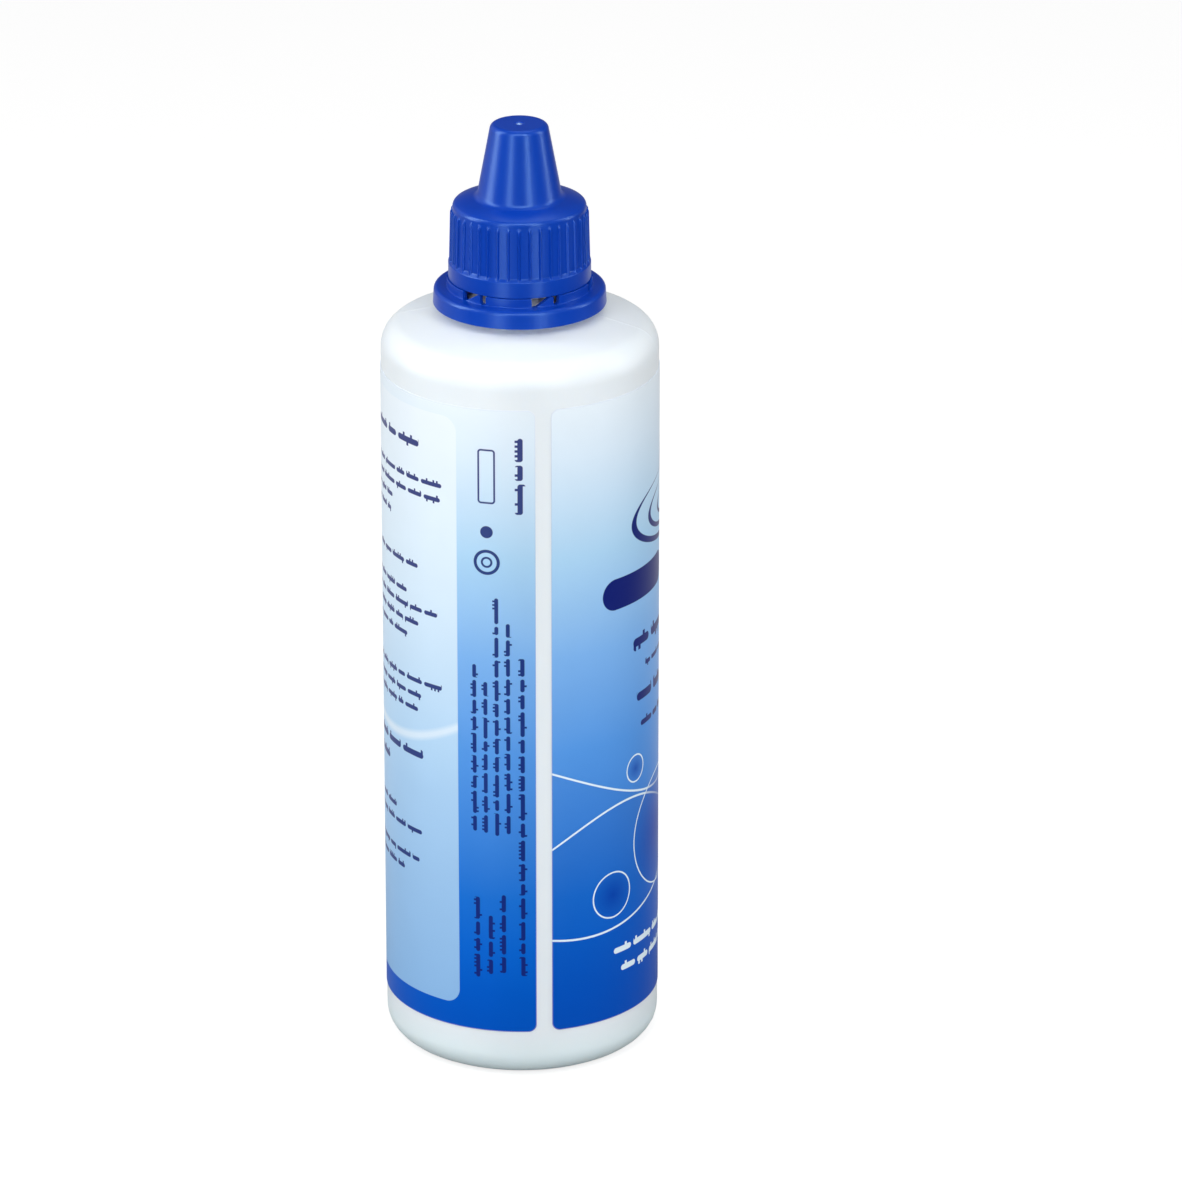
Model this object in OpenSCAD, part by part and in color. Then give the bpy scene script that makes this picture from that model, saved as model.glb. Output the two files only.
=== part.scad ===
// Squeeze bottle for a liquid, with a drop nozzle pressed into its neck, a ribbed screw
// cap with a tall hollow spire, a break-away tamper ring and two wrap-round labels.
// Millimetres, +Z up. The origin is the centre of the base. The front label faces -Y.

/* [Bottle body] */
// Outer diameter of the round body
body_d = 52; // [46:0.5:60]
// Height from the base to the start of the rounded shoulder
body_h = 139.2; // [100:0.2:180]
// Wall thickness of the blown body
wall_t = 1; // [0.7:0.1:1.6]
// Radius of the rounding at the heel
heel_r = 5; // [3:0.5:8]
// Radius of the rounding at the shoulder
shoulder_r = 5; // [3:0.5:8]
// Slope of the shoulder cone, in degrees from level
shoulder_slope = 15; // [8:1:22]
// Depth of the push-up in the base
push_depth = 2.2; // [1:0.2:4]
// Width of the flat ring that the bottle stands on
foot_w = 3; // [2:0.5:5]

/* [Neck] */
// Diameter of the neck at the root of its thread
neck_d = 20.6; // [19:0.2:22]
// Bore of the neck
neck_bore_d = 18; // [16:0.2:18.4]
// Diameter of the plain band under the flange
neck_base_d = 24.4; // [23:0.2:26]
// Height of the plain band under the flange
neck_base_h = 2.3; // [1.6:0.1:4]
// Radius of the fillet where the band meets the shoulder
neck_root_r = 1; // [0.5:0.1:1.4]
// Diameter of the flange that holds the tamper ring
flange_d = 29.5; // [28:0.1:31]
// Thickness of the flange at its edge
flange_t = 0.8; // [0.6:0.1:1.2]
// Rise of the step between the flange and the thread
flange_step = 1; // [0.6:0.1:1.4]
// Diameter at the foot of that step
step_d = 24.2; // [23:0.2:25]
// Height of the thread's part of the neck
neck_h = 14.4; // [12:0.2:18]
// Chamfer round the neck's rim
rim_chamfer = 0.4; // [0.2:0.1:0.6]

/* [Drop nozzle] */
// Diameter of the nozzle's flange on the neck's rim
nozzle_flange_d = 20; // [19:0.2:20.4]
// Thickness of that flange
nozzle_flange_t = 1.4; // [1:0.1:2]
// Length of the plug in the neck
plug_l = 8.6; // [6:0.2:12]
// Wall thickness of the plug
plug_t = 1; // [0.7:0.1:1.3]
// Radial gap between the plug and the bore
plug_gap = 0.15; // [0.1:0.05:0.2]
// Interference of the plug's sealing beads in the bore
bead_bite = 0.04; // [0.02:0.01:0.08]
// Number of sealing beads
bead_count = 3; // [2:1:4]
// Height of each sealing bead
bead_h = 0.8; // [0.6:0.1:1]
// Diameter at the foot of the cone
nozzle_d = 12.4; // [11.6:0.1:13.2]
// Height of the cone above its flange
nozzle_h = 12; // [9:0.5:15]
// Wall thickness of the cone
nozzle_t = 1.3; // [1:0.1:1.6]
// Diameter of the drop hole
drop_hole_d = 1.5; // [1.2:0.1:1.8]
// Length of the drop hole
drop_hole_l = 2.4; // [1.5:0.1:3]
// Radius round the nozzle's tip
tip_r = 0.8; // [0.4:0.1:1]

/* [Screw cap] */
// Depth of the thread between neck and cap
thread_h = 0.9; // [0.7:0.05:1]
// Radial gap over the thread's crest
thread_gap = 0.25; // [0.15:0.05:0.35]
// Wall thickness at the lower end of the ribbed skirt
skirt_t = 1.25; // [1:0.05:1.6]
// Draft of the skirt over its height, on the radius
skirt_draft = 0.25; // [0.1:0.05:0.4]
// Height of the ribs on the skirt
rib_h = 0.36; // [0.2:0.02:0.5]
// Width of the ribs
rib_w = 0.42; // [0.3:0.02:0.7]
// Number of ribs
rib_count = 40; // [24:1:60]
// Turn of the first rib, in degrees
rib_start = -0.75; // [-4:0.25:4]
// Wall thickness of the plain collar at the cap's rim
collar_t = 1.85; // [1.6:0.05:2.1]
// Height of the collar
collar_h = 3; // [2:0.1:5]
// Thickness of the cap's top, over its flat inside
cap_top_t = 1.5; // [1.2:0.1:2]
// Radius of the crowned shoulder of the cap
crown_r = 11; // [9.5:0.5:16]
// Radius of the rounding between crown and skirt
cap_edge_r = 0.9; // [0.5:0.1:1.2]
// Gap between the cap's inside top and the nozzle's flange
seat_gap = 0.3; // [0.2:0.05:0.6]
// Slope of the spire's side, in degrees from upright
spire_slope = 10.6; // [8:0.2:13]
// Wall thickness of the spire, across
spire_t = 1.5; // [1.2:0.1:1.8]
// Gap between the spire's inside and the nozzle, across
spire_gap = 0.6; // [0.4:0.05:0.9]
// Gap between the nozzle's tip and the spire's inside top
tip_gap = 2.3; // [1.5:0.1:4]
// Thickness of the spire's tip
spire_top_t = 1.65; // [1.2:0.05:2.5]
// Radius of the rounding at the spire's top
spire_edge_r = 1.1; // [0.5:0.1:1.6]
// Radius of the fillet at the spire's foot
spire_foot_r = 1.3; // [0.6:0.1:1.8]
// Running gap of the sealing pin in the drop hole
pin_gap = 0.07; // [0.04:0.01:0.1]
// Length of the pin in the drop hole
pin_l = 1.5; // [1:0.1:2]
// Diameter of the moulding gate's dimple in the tip
gate_d = 1.2; // [0.8:0.1:1.6]
// Depth of that dimple
gate_depth = 0.2; // [0.1:0.05:0.3]

/* [Tamper ring] */
// Gap between the ring and the neck's flange
ring_gap = 0.35; // [0.3:0.05:0.5]
// Wall thickness of the ring
ring_t = 0.9; // [0.7:0.05:1.2]
// Flare of the ring's outside towards its foot, on the radius
ring_flare = 0.2; // [0.1:0.05:0.4]
// Radius of the ring's outer top edge
ring_edge_r = 1.2; // [0.8:0.1:1.4]
// Height of the holding bead under the flange
ring_bead_h = 0.9; // [0.7:0.1:1.2]
// Reach of the holding bead under the flange
ring_bead_reach = 0.65; // [0.4:0.05:0.8]
// Height of the upright collar on top of the ring
lip_h = 1.45; // [1:0.05:2]
// Wall thickness of that collar
lip_t = 1; // [0.8:0.05:1.1]
// Distance that the collar stands out from the cap's rim
lip_offset = 0.3; // [0.1:0.05:0.5]
// Number of break-away bridges
bridge_count = 6; // [4:1:8]
// Height of the bridges between ring and cap
bridge_h = 0.3; // [0.3:0.05:0.6]
// Width of a bridge at its foot, in degrees
bridge_angle = 3; // [2:0.5:4]
// Width of a bridge where it breaks from the cap, in degrees
bridge_top_angle = 1.8; // [1:0.2:1.8]
// Length of a ramped window, in degrees
ramp_angle = 15; // [10:1:20]
// Width of a round-bottomed notch, in degrees
notch_angle = 5; // [3:0.5:6]

/* [Labels] */
// Width of the bare strip between the two labels
label_gap = 3; // [1:0.1:8]
// Distance of the labels from the heel's rounding
label_low = 4.9; // [2:0.1:20]
// Distance of the labels from the shoulder's rounding
label_high = 3.65; // [2:0.1:20]
// Radius of the labels' corners
label_corner_r = 1.5; // [0.5:0.1:5]
// Thickness of a label
label_t = 0.12; // [0.08:0.01:0.2]
// Thickness of the adhesive under a label
glue_t = 0.02; // [0.01:0.01:0.05]

/* [Hidden] */
$fn = 96;
arc_steps = 8;
cut = 0.5;

// Small sizes that the profiles share: edge breaks, corner chamfers and roots
edge_break = 0.15;
corner = 0.5;
inner_corner = 0.6;
root = 0.2;

// Lead-ins, across and up, of the cap's rim, the plug, the cap's seat and the ring's foot
lead_w = 0.35;
plug_lead_w = 0.4;
plug_lead_h = 1;
seat_lead_w = 1.2;
seat_lead_h = 1.4;
ring_lead_w = 0.3;

// Flare of the pin's root, how far the crown's centre lies inside the spire, and the ribs' ends
pin_root_w = 0.6;
pin_root_h = 0.8;
crown_inset = 1.1;
rib_root = 0.4;
rib_stop = 0.3;

// Floor left under the ring's windows, and the level stretch at a ramp's deep end
cut_lift = 0.05;
ramp_flat = 0.9;

// Body and shoulder
body_r = body_d / 2;
foot_in_r = body_r - heel_r - foot_w;
cone_r = body_r - shoulder_r + shoulder_r * sin(shoulder_slope);
cone_z = body_h + shoulder_r * cos(shoulder_slope);

// Neck, upwards from the shoulder
neck_r = neck_d / 2;
bore_r = neck_bore_d / 2;
base_r = neck_base_d / 2;
band_z = cone_z + (cone_r - base_r) * tan(shoulder_slope);
flange_z = band_z + neck_base_h;
flange_r = flange_d / 2;
flange_top_z = flange_z + flange_t;
step_r = step_d / 2;
step_z = flange_top_z + flange_step;
rim_z = step_z + neck_h;

// Drop nozzle, on the neck's rim
nozzle_z = rim_z + nozzle_flange_t;
tip_z = nozzle_z + nozzle_h;
plug_r = bore_r - plug_gap;
plug_z = rim_z - plug_l;
bead_w = plug_gap + bead_bite;
taper = tan(spire_slope);
nozzle_r = nozzle_d / 2;
drop_r = drop_hole_d / 2;
function nozzle_r_at(z) = nozzle_r - taper * (z - nozzle_z);

// Tamper ring, round the neck's flange
ring_in_r = flange_r + ring_gap;
ring_top_r = ring_in_r + ring_t;
ring_foot_r = ring_top_r + ring_flare;
ring_z = flange_z - ring_gap - ring_bead_h;
bead_top_z = ring_z + ring_bead_h;
bead_r = flange_r - ring_bead_reach;
ring_roof_z = flange_top_z + ring_gap;
ring_shelf_z = ring_roof_z + ring_t;
lip_z = ring_shelf_z + lip_h;
sector = 360 / bridge_count;

// Screw cap, over the ring
cap_bore_r = neck_r + thread_h + thread_gap;
cap_z = lip_z + bridge_h;
cap_roof_z = nozzle_z + seat_gap;
collar_r = cap_bore_r + collar_t;
skirt_low_r = cap_bore_r + skirt_t;
skirt_top_r = skirt_low_r - skirt_draft;
ledge_z = cap_z + collar_h;
ledge_h = collar_r - skirt_low_r;
lip_out_r = collar_r + lip_offset;
lip_in_r = lip_out_r - lip_t;
spire_r = nozzle_r + spire_gap + spire_t;
spire_z = tip_z + tip_gap + spire_top_t;
spire_roof_z = tip_z + tip_gap;
function spire_r_at(z) = spire_r - taper * (z - nozzle_z);
function spire_in_r_at(z) = spire_r_at(z) - spire_t;
pin_r = drop_r - pin_gap;
pin_z = tip_z - pin_l;

// Crown of the cap: a large round over its shoulder, centred a little inside the spire
crown_c = [spire_r - crown_inset, cap_roof_z + cap_top_t - crown_r];
edge_c_r = skirt_top_r - cap_edge_r;
edge_c = [edge_c_r, crown_c[1] + sqrt(pow(crown_r - cap_edge_r, 2) - pow(edge_c_r - crown_c[0], 2))];
edge_angle = atan2(edge_c[1] - crown_c[1], edge_c[0] - crown_c[0]);
rib_top_z = edge_c[1] - rib_stop;

// Fillet between the spire and the crown: tangent to both
foot_a = spire_r_at(crown_c[1]) + spire_foot_r / cos(spire_slope) - crown_c[0];
foot_d = crown_r + spire_foot_r;
foot_b = 1 + taper * taper;
foot_root = sqrt(pow(foot_a * taper, 2) - foot_b * (pow(foot_a, 2) - pow(foot_d, 2)));
foot_u = (foot_a * taper + foot_root) / foot_b;
foot_c = [crown_c[0] + foot_a - taper * foot_u, crown_c[1] + foot_u];
foot_angle = atan2(foot_c[1] - crown_c[1], foot_c[0] - crown_c[0]);

// Labels
label_in_r = body_r + glue_t;
label_z = heel_r + label_low;
label_h = body_h - label_high - label_z;
label_gap_angle = label_gap / body_r * 180 / PI;
label_span = 180 - label_gap_angle;

// Points of an arc round c, from angle a0 to a1
function arc(c, r, a0, a1, n = arc_steps) =
    [for (i = [0:n]) let (a = a0 + (a1 - a0) * i / n) [c[0] + r * cos(a), c[1] + r * sin(a)]];

// Points of a shallow dome: from the axis at height h out to radius r at height 0
function dome(r, h, lift = 0) =
    let (big_r = (r * r + h * h) / (2 * h), half = asin(r / big_r))
    arc([0, lift + h - big_r], big_r, 90, 90 - half);

// Outside of the bottle, from the axis under the base up to the neck's rim
function bottle_outside() = concat(
    dome(foot_in_r, push_depth),
    arc([body_r - heel_r, heel_r], heel_r, -90, 0),
    arc([body_r - shoulder_r, body_h], shoulder_r, 0, 90 - shoulder_slope),
    arc(neck_root_c(), neck_root_r, 270 - shoulder_slope, 180),
    [[base_r, flange_z], [flange_r - edge_break, flange_z], [flange_r, flange_z + edge_break],
     [flange_r, flange_top_z - edge_break], [flange_r - edge_break, flange_top_z],
     [step_r, flange_top_z], [neck_r + corner, step_z], [neck_r, step_z + corner],
     [neck_r, rim_z - rim_chamfer], [neck_r - rim_chamfer, rim_z]]);

// Centre of the fillet at the foot of the neck: tangent to the band and to the shoulder cone
function neck_root_c() = let (r = base_r + neck_root_r)
    [r, band_z - (r - base_r) * tan(shoulder_slope) + neck_root_r / cos(shoulder_slope)];

// Inside of the bottle, from the neck's rim down to the axis over the base
function bottle_inside() = let (
        drop = wall_t / cos(shoulder_slope),
        bore_z = band_z + (base_r - bore_r) * tan(shoulder_slope) - drop)
    concat(
        [[bore_r, rim_z], [bore_r, bore_z]],
        arc([body_r - shoulder_r, body_h], shoulder_r - wall_t, 90 - shoulder_slope, 0),
        arc([body_r - heel_r, heel_r], heel_r - wall_t, 0, -90),
        [for (i = [arc_steps:-1:0]) dome(foot_in_r, push_depth, wall_t)[i]]);

// Blow-moulded bottle: round body, cone shoulder, threaded neck's core and its flange
module bottle() {
    color("white")
    rotate_extrude()
    polygon(concat(bottle_outside(), bottle_inside()));
}

// Drop nozzle: a plug with sealing beads, a flange on the neck's rim and a hollow cone
module nozzle_insert() {
    outside = concat(
        [[plug_r - plug_t, plug_z], [plug_r - plug_lead_w, plug_z], [plug_r, plug_z + plug_lead_h],
         [plug_r, rim_z], [nozzle_flange_d / 2, rim_z], [nozzle_flange_d / 2, nozzle_z]],
        [[nozzle_r + corner, nozzle_z], [nozzle_r_at(nozzle_z + corner), nozzle_z + corner]],
        arc([nozzle_r_at(tip_z) - tip_r, tip_z - tip_r], tip_r, spire_slope, 90),
        [[drop_r + corner, tip_z], [drop_r, tip_z - corner]]);
    hole_z = tip_z - drop_hole_l;
    inside = [[drop_r, hole_z], [nozzle_r_at(hole_z) - nozzle_t, hole_z - inner_corner],
        [nozzle_r_at(rim_z) - nozzle_t, rim_z], [plug_r - plug_t, rim_z - nozzle_t]];
    bead_step = (plug_l - plug_lead_h - bead_h) / bead_count;
    color("ivory")
    rotate_extrude() {
        polygon(concat(outside, inside));
        for (i = [1:bead_count])
            translate([plug_r, rim_z - i * bead_step])
            polygon([[-root, -bead_h / 2], [0, -bead_h / 2], [bead_w, -bead_h / 6],
                [bead_w, bead_h / 6], [0, bead_h / 2], [-root, bead_h / 2]]);
    }
}

// Outside of the cap, from its rim up over the crown and the spire to the axis
function cap_outside() = concat(
    [[collar_r - edge_break, cap_z], [collar_r, cap_z + edge_break], [collar_r, ledge_z - edge_break],
     [collar_r - edge_break, ledge_z], [skirt_low_r, ledge_z + ledge_h]],
    arc(edge_c, cap_edge_r, 0, edge_angle),
    arc(crown_c, crown_r, edge_angle, foot_angle, 12),
    arc(foot_c, spire_foot_r, 180 + foot_angle, 180 + spire_slope),
    arc([spire_r_at(spire_z) + taper * spire_edge_r - spire_edge_r / cos(spire_slope),
        spire_z - spire_edge_r], spire_edge_r, spire_slope, 90),
    [[gate_d / 2 + gate_depth, spire_z], [gate_d / 2, spire_z - gate_depth], [0, spire_z - gate_depth]]);

// Inside of the cap, from the axis at the pin's end out and down to the rim
function cap_inside() = [
    [0, pin_z], [pin_r - root, pin_z], [pin_r, pin_z + root],
    [pin_r, tip_z + pin_root_h], [pin_r + pin_root_w, spire_roof_z],
    [spire_in_r_at(spire_roof_z) - inner_corner, spire_roof_z],
    [spire_in_r_at(spire_roof_z - inner_corner), spire_roof_z - inner_corner],
    [spire_in_r_at(cap_roof_z + corner), cap_roof_z + corner],
    [spire_in_r_at(cap_roof_z) + corner, cap_roof_z],
    [cap_bore_r - seat_lead_w, cap_roof_z], [cap_bore_r, cap_roof_z - seat_lead_h],
    [cap_bore_r, cap_z + corner], [cap_bore_r + lead_w, cap_z]];

// One upright rib of the skirt: its foot stands on the ledge and its top leans into the wall
module skirt_rib() {
    low_z = ledge_z + ledge_h - rib_h;
    rotate([90, 0, 0])
    translate([0, 0, -rib_w / 2])
    linear_extrude(rib_w)
    polygon([[skirt_low_r - rib_root, low_z], [skirt_low_r + rib_h, low_z],
        [skirt_top_r + rib_h, rib_top_z - rib_h], [skirt_top_r, rib_top_z],
        [skirt_top_r - rib_root, rib_top_z]]);
}

// Screw cap: a plain collar, a ribbed skirt, a crowned shoulder and a hollow spire with its pin
module screw_cap() {
    color("royalblue")
    union() {
        rotate_extrude()
        polygon(concat(cap_outside(), cap_inside()));
        for (i = [0:rib_count - 1])
            rotate([0, 0, rib_start + i * 360 / rib_count])
            skirt_rib();
    }
}

// Section of the tamper ring: a foot bead under the flange, a wall, a shelf and the collar
function ring_section() = concat(
    [[ring_in_r + ring_lead_w, ring_z], [ring_foot_r - edge_break, ring_z],
     [ring_foot_r, ring_z + edge_break]],
    arc([ring_top_r - ring_edge_r, ring_shelf_z - ring_edge_r], ring_edge_r, 0, 90),
    [[lip_out_r + root, ring_shelf_z], [lip_out_r, ring_shelf_z + root],
     [lip_out_r, lip_z], [lip_in_r, lip_z], [lip_in_r, ring_roof_z + root], [lip_in_r + root, ring_roof_z],
     [ring_in_r - corner, ring_roof_z], [ring_in_r, ring_roof_z - corner],
     [ring_in_r, bead_top_z], [bead_r, bead_top_z], [bead_r, ring_z + ring_bead_h / 2]]);

// A shape drawn across the collar (x along its wall, y upwards), cut through it at an angle
module across_lip(angle) {
    rotate([0, 0, angle])
    translate([lip_in_r - cut, 0, 0])
    rotate([90, 0, 90])
    linear_extrude(lip_t + 2 * cut)
    children();
}

// Width along the collar's wall of a piece of so many degrees
function along(angle) = 2 * lip_out_r * sin(angle / 2);

// Window with a ramp: deep at its first end, and nothing at its last
module ramp_window() {
    half = along(ramp_angle) / 2;
    low = ring_shelf_z + cut_lift;
    across_lip(ramp_angle / 2)
    polygon([[-half, low], [-half + ramp_flat, low], [half, lip_z],
        [half, lip_z + cut], [-half, lip_z + cut]]);
}

// Notch with a round bottom, beside the bridge
module notch() {
    r = along(notch_angle) / 2;
    across_lip(ramp_angle + bridge_angle + notch_angle / 2)
    polygon(concat(
        arc([0, ring_shelf_z + cut_lift + r], r, 180, 360),
        [[r, lip_z + cut], [-r, lip_z + cut]]));
}

// Bridge: a small wedge that joins the collar to the cap's rim until the cap is first turned
module bridge() {
    foot = along(bridge_angle) / 2;
    top = along(bridge_top_angle) / 2;
    first_r = lip_in_r + edge_break;
    last_r = collar_r - edge_break;
    rotate([0, 0, ramp_angle + bridge_angle / 2])
    translate([first_r, 0, 0])
    rotate([90, 0, 90])
    linear_extrude(last_r - first_r)
    polygon([[-foot, lip_z - root], [foot, lip_z - root], [foot, lip_z],
        [top, cap_z], [-top, cap_z], [-foot, lip_z]]);
}

// Tamper ring: stays behind under the cap, and carries the broken bridges
module tamper_ring() {
    color("royalblue")
    union() {
        difference() {
            rotate_extrude()
            polygon(ring_section());
            for (i = [0:bridge_count - 1])
                rotate([0, 0, i * sector]) {
                    ramp_window();
                    notch();
                }
        }
        for (i = [0:bridge_count - 1])
            rotate([0, 0, i * sector])
            bridge();
    }
}

// What rounds off one corner of a label, drawn with the corner at the origin
module corner_off(angle, z, side, up) {
    rotate([0, 0, angle])
    translate([body_r / 2, 0, z])
    rotate([90, 0, 90])
    linear_extrude(body_r)
    scale([side, up])
    difference() {
        translate([-cut, -cut])
        square(label_corner_r + cut);
        translate([label_corner_r, label_corner_r])
        circle(label_corner_r, $fn = 48);
    }
}

// Label wrapped on the body, with its middle at an angle
module label(middle) {
    first = middle - label_span / 2;
    last = middle + label_span / 2;
    difference() {
        rotate([0, 0, first])
        rotate_extrude(angle = label_span)
        translate([label_in_r, label_z])
        square([label_t, label_h]);
        corner_off(first, label_z, 1, 1);
        corner_off(first, label_z + label_h, 1, -1);
        corner_off(last, label_z, -1, 1);
        corner_off(last, label_z + label_h, -1, -1);
    }
}

module front_label() {
    color("cornflowerblue")
    label(270);
}

module rear_label() {
    color("lightsteelblue")
    label(90);
}

bottle();
nozzle_insert();
screw_cap();
tamper_ring();
front_label();
rear_label();
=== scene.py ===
# %% [markdown]
# # A squeeze bottle with a drop nozzle, dressed piece by piece
# The CAD model gives us six plain solids at their real size: a bottle, the nozzle in its neck,
# a screw cap, a tamper ring and two labels. This lesson makes the finer meshes and the finishes
# that go round them, and then the small studio they stand in. Nothing here moves a CAD part:
# every finer piece is built in the same place, rides on the same body and stands for its node.

# %% Load the frame
import functools
from math import atan2, cos, degrees, pi, radians, sin, sqrt, tan, tau

import bmesh
import bpy
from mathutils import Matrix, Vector


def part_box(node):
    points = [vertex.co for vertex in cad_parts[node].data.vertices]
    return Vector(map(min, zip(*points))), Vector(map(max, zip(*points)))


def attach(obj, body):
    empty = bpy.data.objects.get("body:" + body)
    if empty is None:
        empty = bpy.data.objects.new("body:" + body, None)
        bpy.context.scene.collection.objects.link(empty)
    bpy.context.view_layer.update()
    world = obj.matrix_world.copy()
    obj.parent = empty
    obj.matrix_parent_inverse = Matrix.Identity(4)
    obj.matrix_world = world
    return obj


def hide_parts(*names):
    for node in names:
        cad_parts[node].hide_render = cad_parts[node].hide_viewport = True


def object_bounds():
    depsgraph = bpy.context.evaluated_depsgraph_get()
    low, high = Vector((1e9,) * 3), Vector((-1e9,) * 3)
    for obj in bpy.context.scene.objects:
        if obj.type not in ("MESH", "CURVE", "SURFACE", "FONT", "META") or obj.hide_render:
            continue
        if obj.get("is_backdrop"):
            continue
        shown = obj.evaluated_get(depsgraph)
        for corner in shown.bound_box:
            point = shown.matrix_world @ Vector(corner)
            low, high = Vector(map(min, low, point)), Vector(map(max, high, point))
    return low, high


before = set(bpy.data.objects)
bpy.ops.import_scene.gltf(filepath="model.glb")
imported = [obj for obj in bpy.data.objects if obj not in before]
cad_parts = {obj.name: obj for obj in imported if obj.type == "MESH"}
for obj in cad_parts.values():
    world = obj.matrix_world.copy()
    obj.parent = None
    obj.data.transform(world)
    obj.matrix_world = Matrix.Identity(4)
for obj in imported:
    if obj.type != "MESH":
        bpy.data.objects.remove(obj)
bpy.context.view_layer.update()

# %% [markdown]
# Drawings of bottles are in millimetres, and Blender works in metres. Every outline below is
# written in millimetres and multiplied by MM when its mesh is made. The heights that the
# pieces share come from the CAD boxes, so they can't drift apart from the solids.

# %% Heights and radii that the pieces share
MM = 0.001
RIM_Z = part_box("bottle")[1].z / MM
BODY_R = round(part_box("bottle")[1].x / MM, 1)
CAP_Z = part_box("screw_cap")[0].z / MM
SPIRE_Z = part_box("screw_cap")[1].z / MM
RING_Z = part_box("tamper_ring")[0].z / MM
TIP_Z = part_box("nozzle_insert")[1].z / MM
PLUG_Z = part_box("nozzle_insert")[0].z / MM
LABEL_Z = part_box("front_label")[0].z / MM
LABEL_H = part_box("front_label")[1].z / MM - LABEL_Z
print(f"rim {RIM_Z:.2f}, cap {CAP_Z:.2f} to {SPIRE_Z:.2f}, ring {RING_Z:.2f}")
print(f"labels from {LABEL_Z:.2f}, {LABEL_H:.2f} high")

# %% [markdown]
# Moulded plastic never has a knife edge. Each outline is therefore a list of corners with a
# rounding, and this helper turns every corner into a small arc. It also leaves a point just
# before and after each arc, so that smooth shading stays on the arc and the flats stay flat.
# Subdivision would round the corners too, but then their sizes would no longer be ours to choose.

# %% Outlines with rounded corners
ARC_STEP = 9
FEWEST_STEPS = 3
HOLD, HOLD_SHARE = 0.15, 4


def arc(centre, radius, start, end):
    """Points of an arc, in mm, from one angle to another in degrees."""
    steps = max(FEWEST_STEPS, round(abs(end - start) / ARC_STEP))
    turns = [radians(start + (end - start) * i / steps) for i in range(steps + 1)]
    return [Vector((centre[0] + radius * cos(t), centre[1] + radius * sin(t))) for t in turns]


def rounded(corners, arc_step=ARC_STEP):
    """The outline through (radius, height, rounding) corners, with an arc at each rounded one."""
    spots = [Vector(c[:2]) for c in corners]
    count = len(spots)
    to_last = [spots[i - 1] - spots[i] for i in range(count)]
    to_next = [spots[(i + 1) % count] - spots[i] for i in range(count)]
    reach = [c[2] / tan(a.angle(b) / 2) if c[2] else 0.0 for c, a, b in zip(corners, to_last, to_next)]
    outline = []
    for i, (_, _, rounding) in enumerate(corners):
        if not rounding:
            outline.append(spots[i])
            continue
        back, ahead = to_last[i].normalized(), to_next[i].normalized()
        centre = spots[i] + (back + ahead).normalized() * rounding / sin(back.angle(ahead) / 2)
        first, last = spots[i] + back * reach[i], spots[i] + ahead * reach[i]
        flat_before = to_last[i].length - reach[i] - reach[i - 1]
        flat_after = to_next[i].length - reach[i] - reach[(i + 1) % count]
        outline.append(first + back * min(HOLD, flat_before / HOLD_SHARE))
        steps = max(FEWEST_STEPS, round(degrees(pi - back.angle(ahead)) / arc_step))
        for k in range(steps + 1):
            spoke = (first - centre).lerp(last - centre, k / steps).normalized()
            outline.append(centre + spoke * rounding)
        outline.append(last + ahead * min(HOLD, flat_after / HOLD_SHARE))
    return outline


print("a rounded square has", len(rounded([(1, 0, 0.1), (2, 0, 0.1), (2, 1, 0.1), (1, 1, 0.1)])), "points")

# %% [markdown]
# Bottle, nozzle, cap and ring are all turned shapes, so one helper spins an outline round the
# axis. Blender's Spin tool or a Screw modifier would do it as well. Writing the points ourselves
# lets us choose the angles of the columns, and put more of them where a fine detail needs them.
# `relief` is a small push along the surface's own outward direction: a raised mould line, say.

# %% Meshes, and a lathe for outlines
SHARP = radians(38)


def new_object(name, data):
    """An object for a mesh, a lamp or a camera, linked into the scene."""
    made = bpy.data.objects.new(name, data)
    bpy.context.scene.collection.objects.link(made)
    return made


def finish_mesh(mesh):
    """Smooth shading, with a crisp line only where two faces meet at a real edge."""
    mesh.polygons.foreach_set("use_smooth", [True] * len(mesh.polygons))
    mesh.set_sharp_from_angle(angle=SHARP)
    mesh.update()


def new_piece(name, points, faces):
    """A mesh object from points in mm."""
    mesh = bpy.data.meshes.new(name)
    mesh.from_pydata([[x * MM for x in point] for point in points], [], faces)
    finish_mesh(mesh)
    return new_object(name, mesh)


def spin(name, outline, angles, relief=None):
    """A closed turned solid. The outline runs with the material on its left; angles are in degrees."""
    on_axis = outline[0][0] < 1e-6
    count = len(outline)
    runs = [(outline[(i + 1) % count] - outline[i - 1]).normalized() for i in range(count)]
    pushes = [Vector((run.y, -run.x)) for run in runs]
    kept = range(1, count - 1) if on_axis else range(count)
    points = []
    for angle in angles:
        c, s = cos(radians(angle)), sin(radians(angle))
        for i in kept:
            r, z = outline[i] + (pushes[i] * relief(angle, i, outline[i]) if relief else Vector((0, 0)))
            points.append((r * c, r * s, z))
    rows = len(kept)
    faces = []
    for column in range(len(angles)):
        here, there = column * rows, (column + 1) % len(angles) * rows
        for i in range(rows - 1 if on_axis else rows):
            j = (i + 1) % rows
            faces.append((here + i, there + i, there + j, here + j))
        if on_axis:
            faces.append((len(angles) * rows, there, here))
            faces.append((here + rows - 1, there + rows - 1, len(angles) * rows + 1))
    if on_axis:
        points += [(0, 0, outline[0][1]), (0, 0, outline[-1][1])]
    return new_piece(name, points, faces)


def even_angles(count, extra=()):
    """Evenly spaced columns, with extra ones close round the angles that need them."""
    return sorted({round(a % 360, 4) for a in [i * 360 / count for i in range(count)] + list(extra)})


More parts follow.
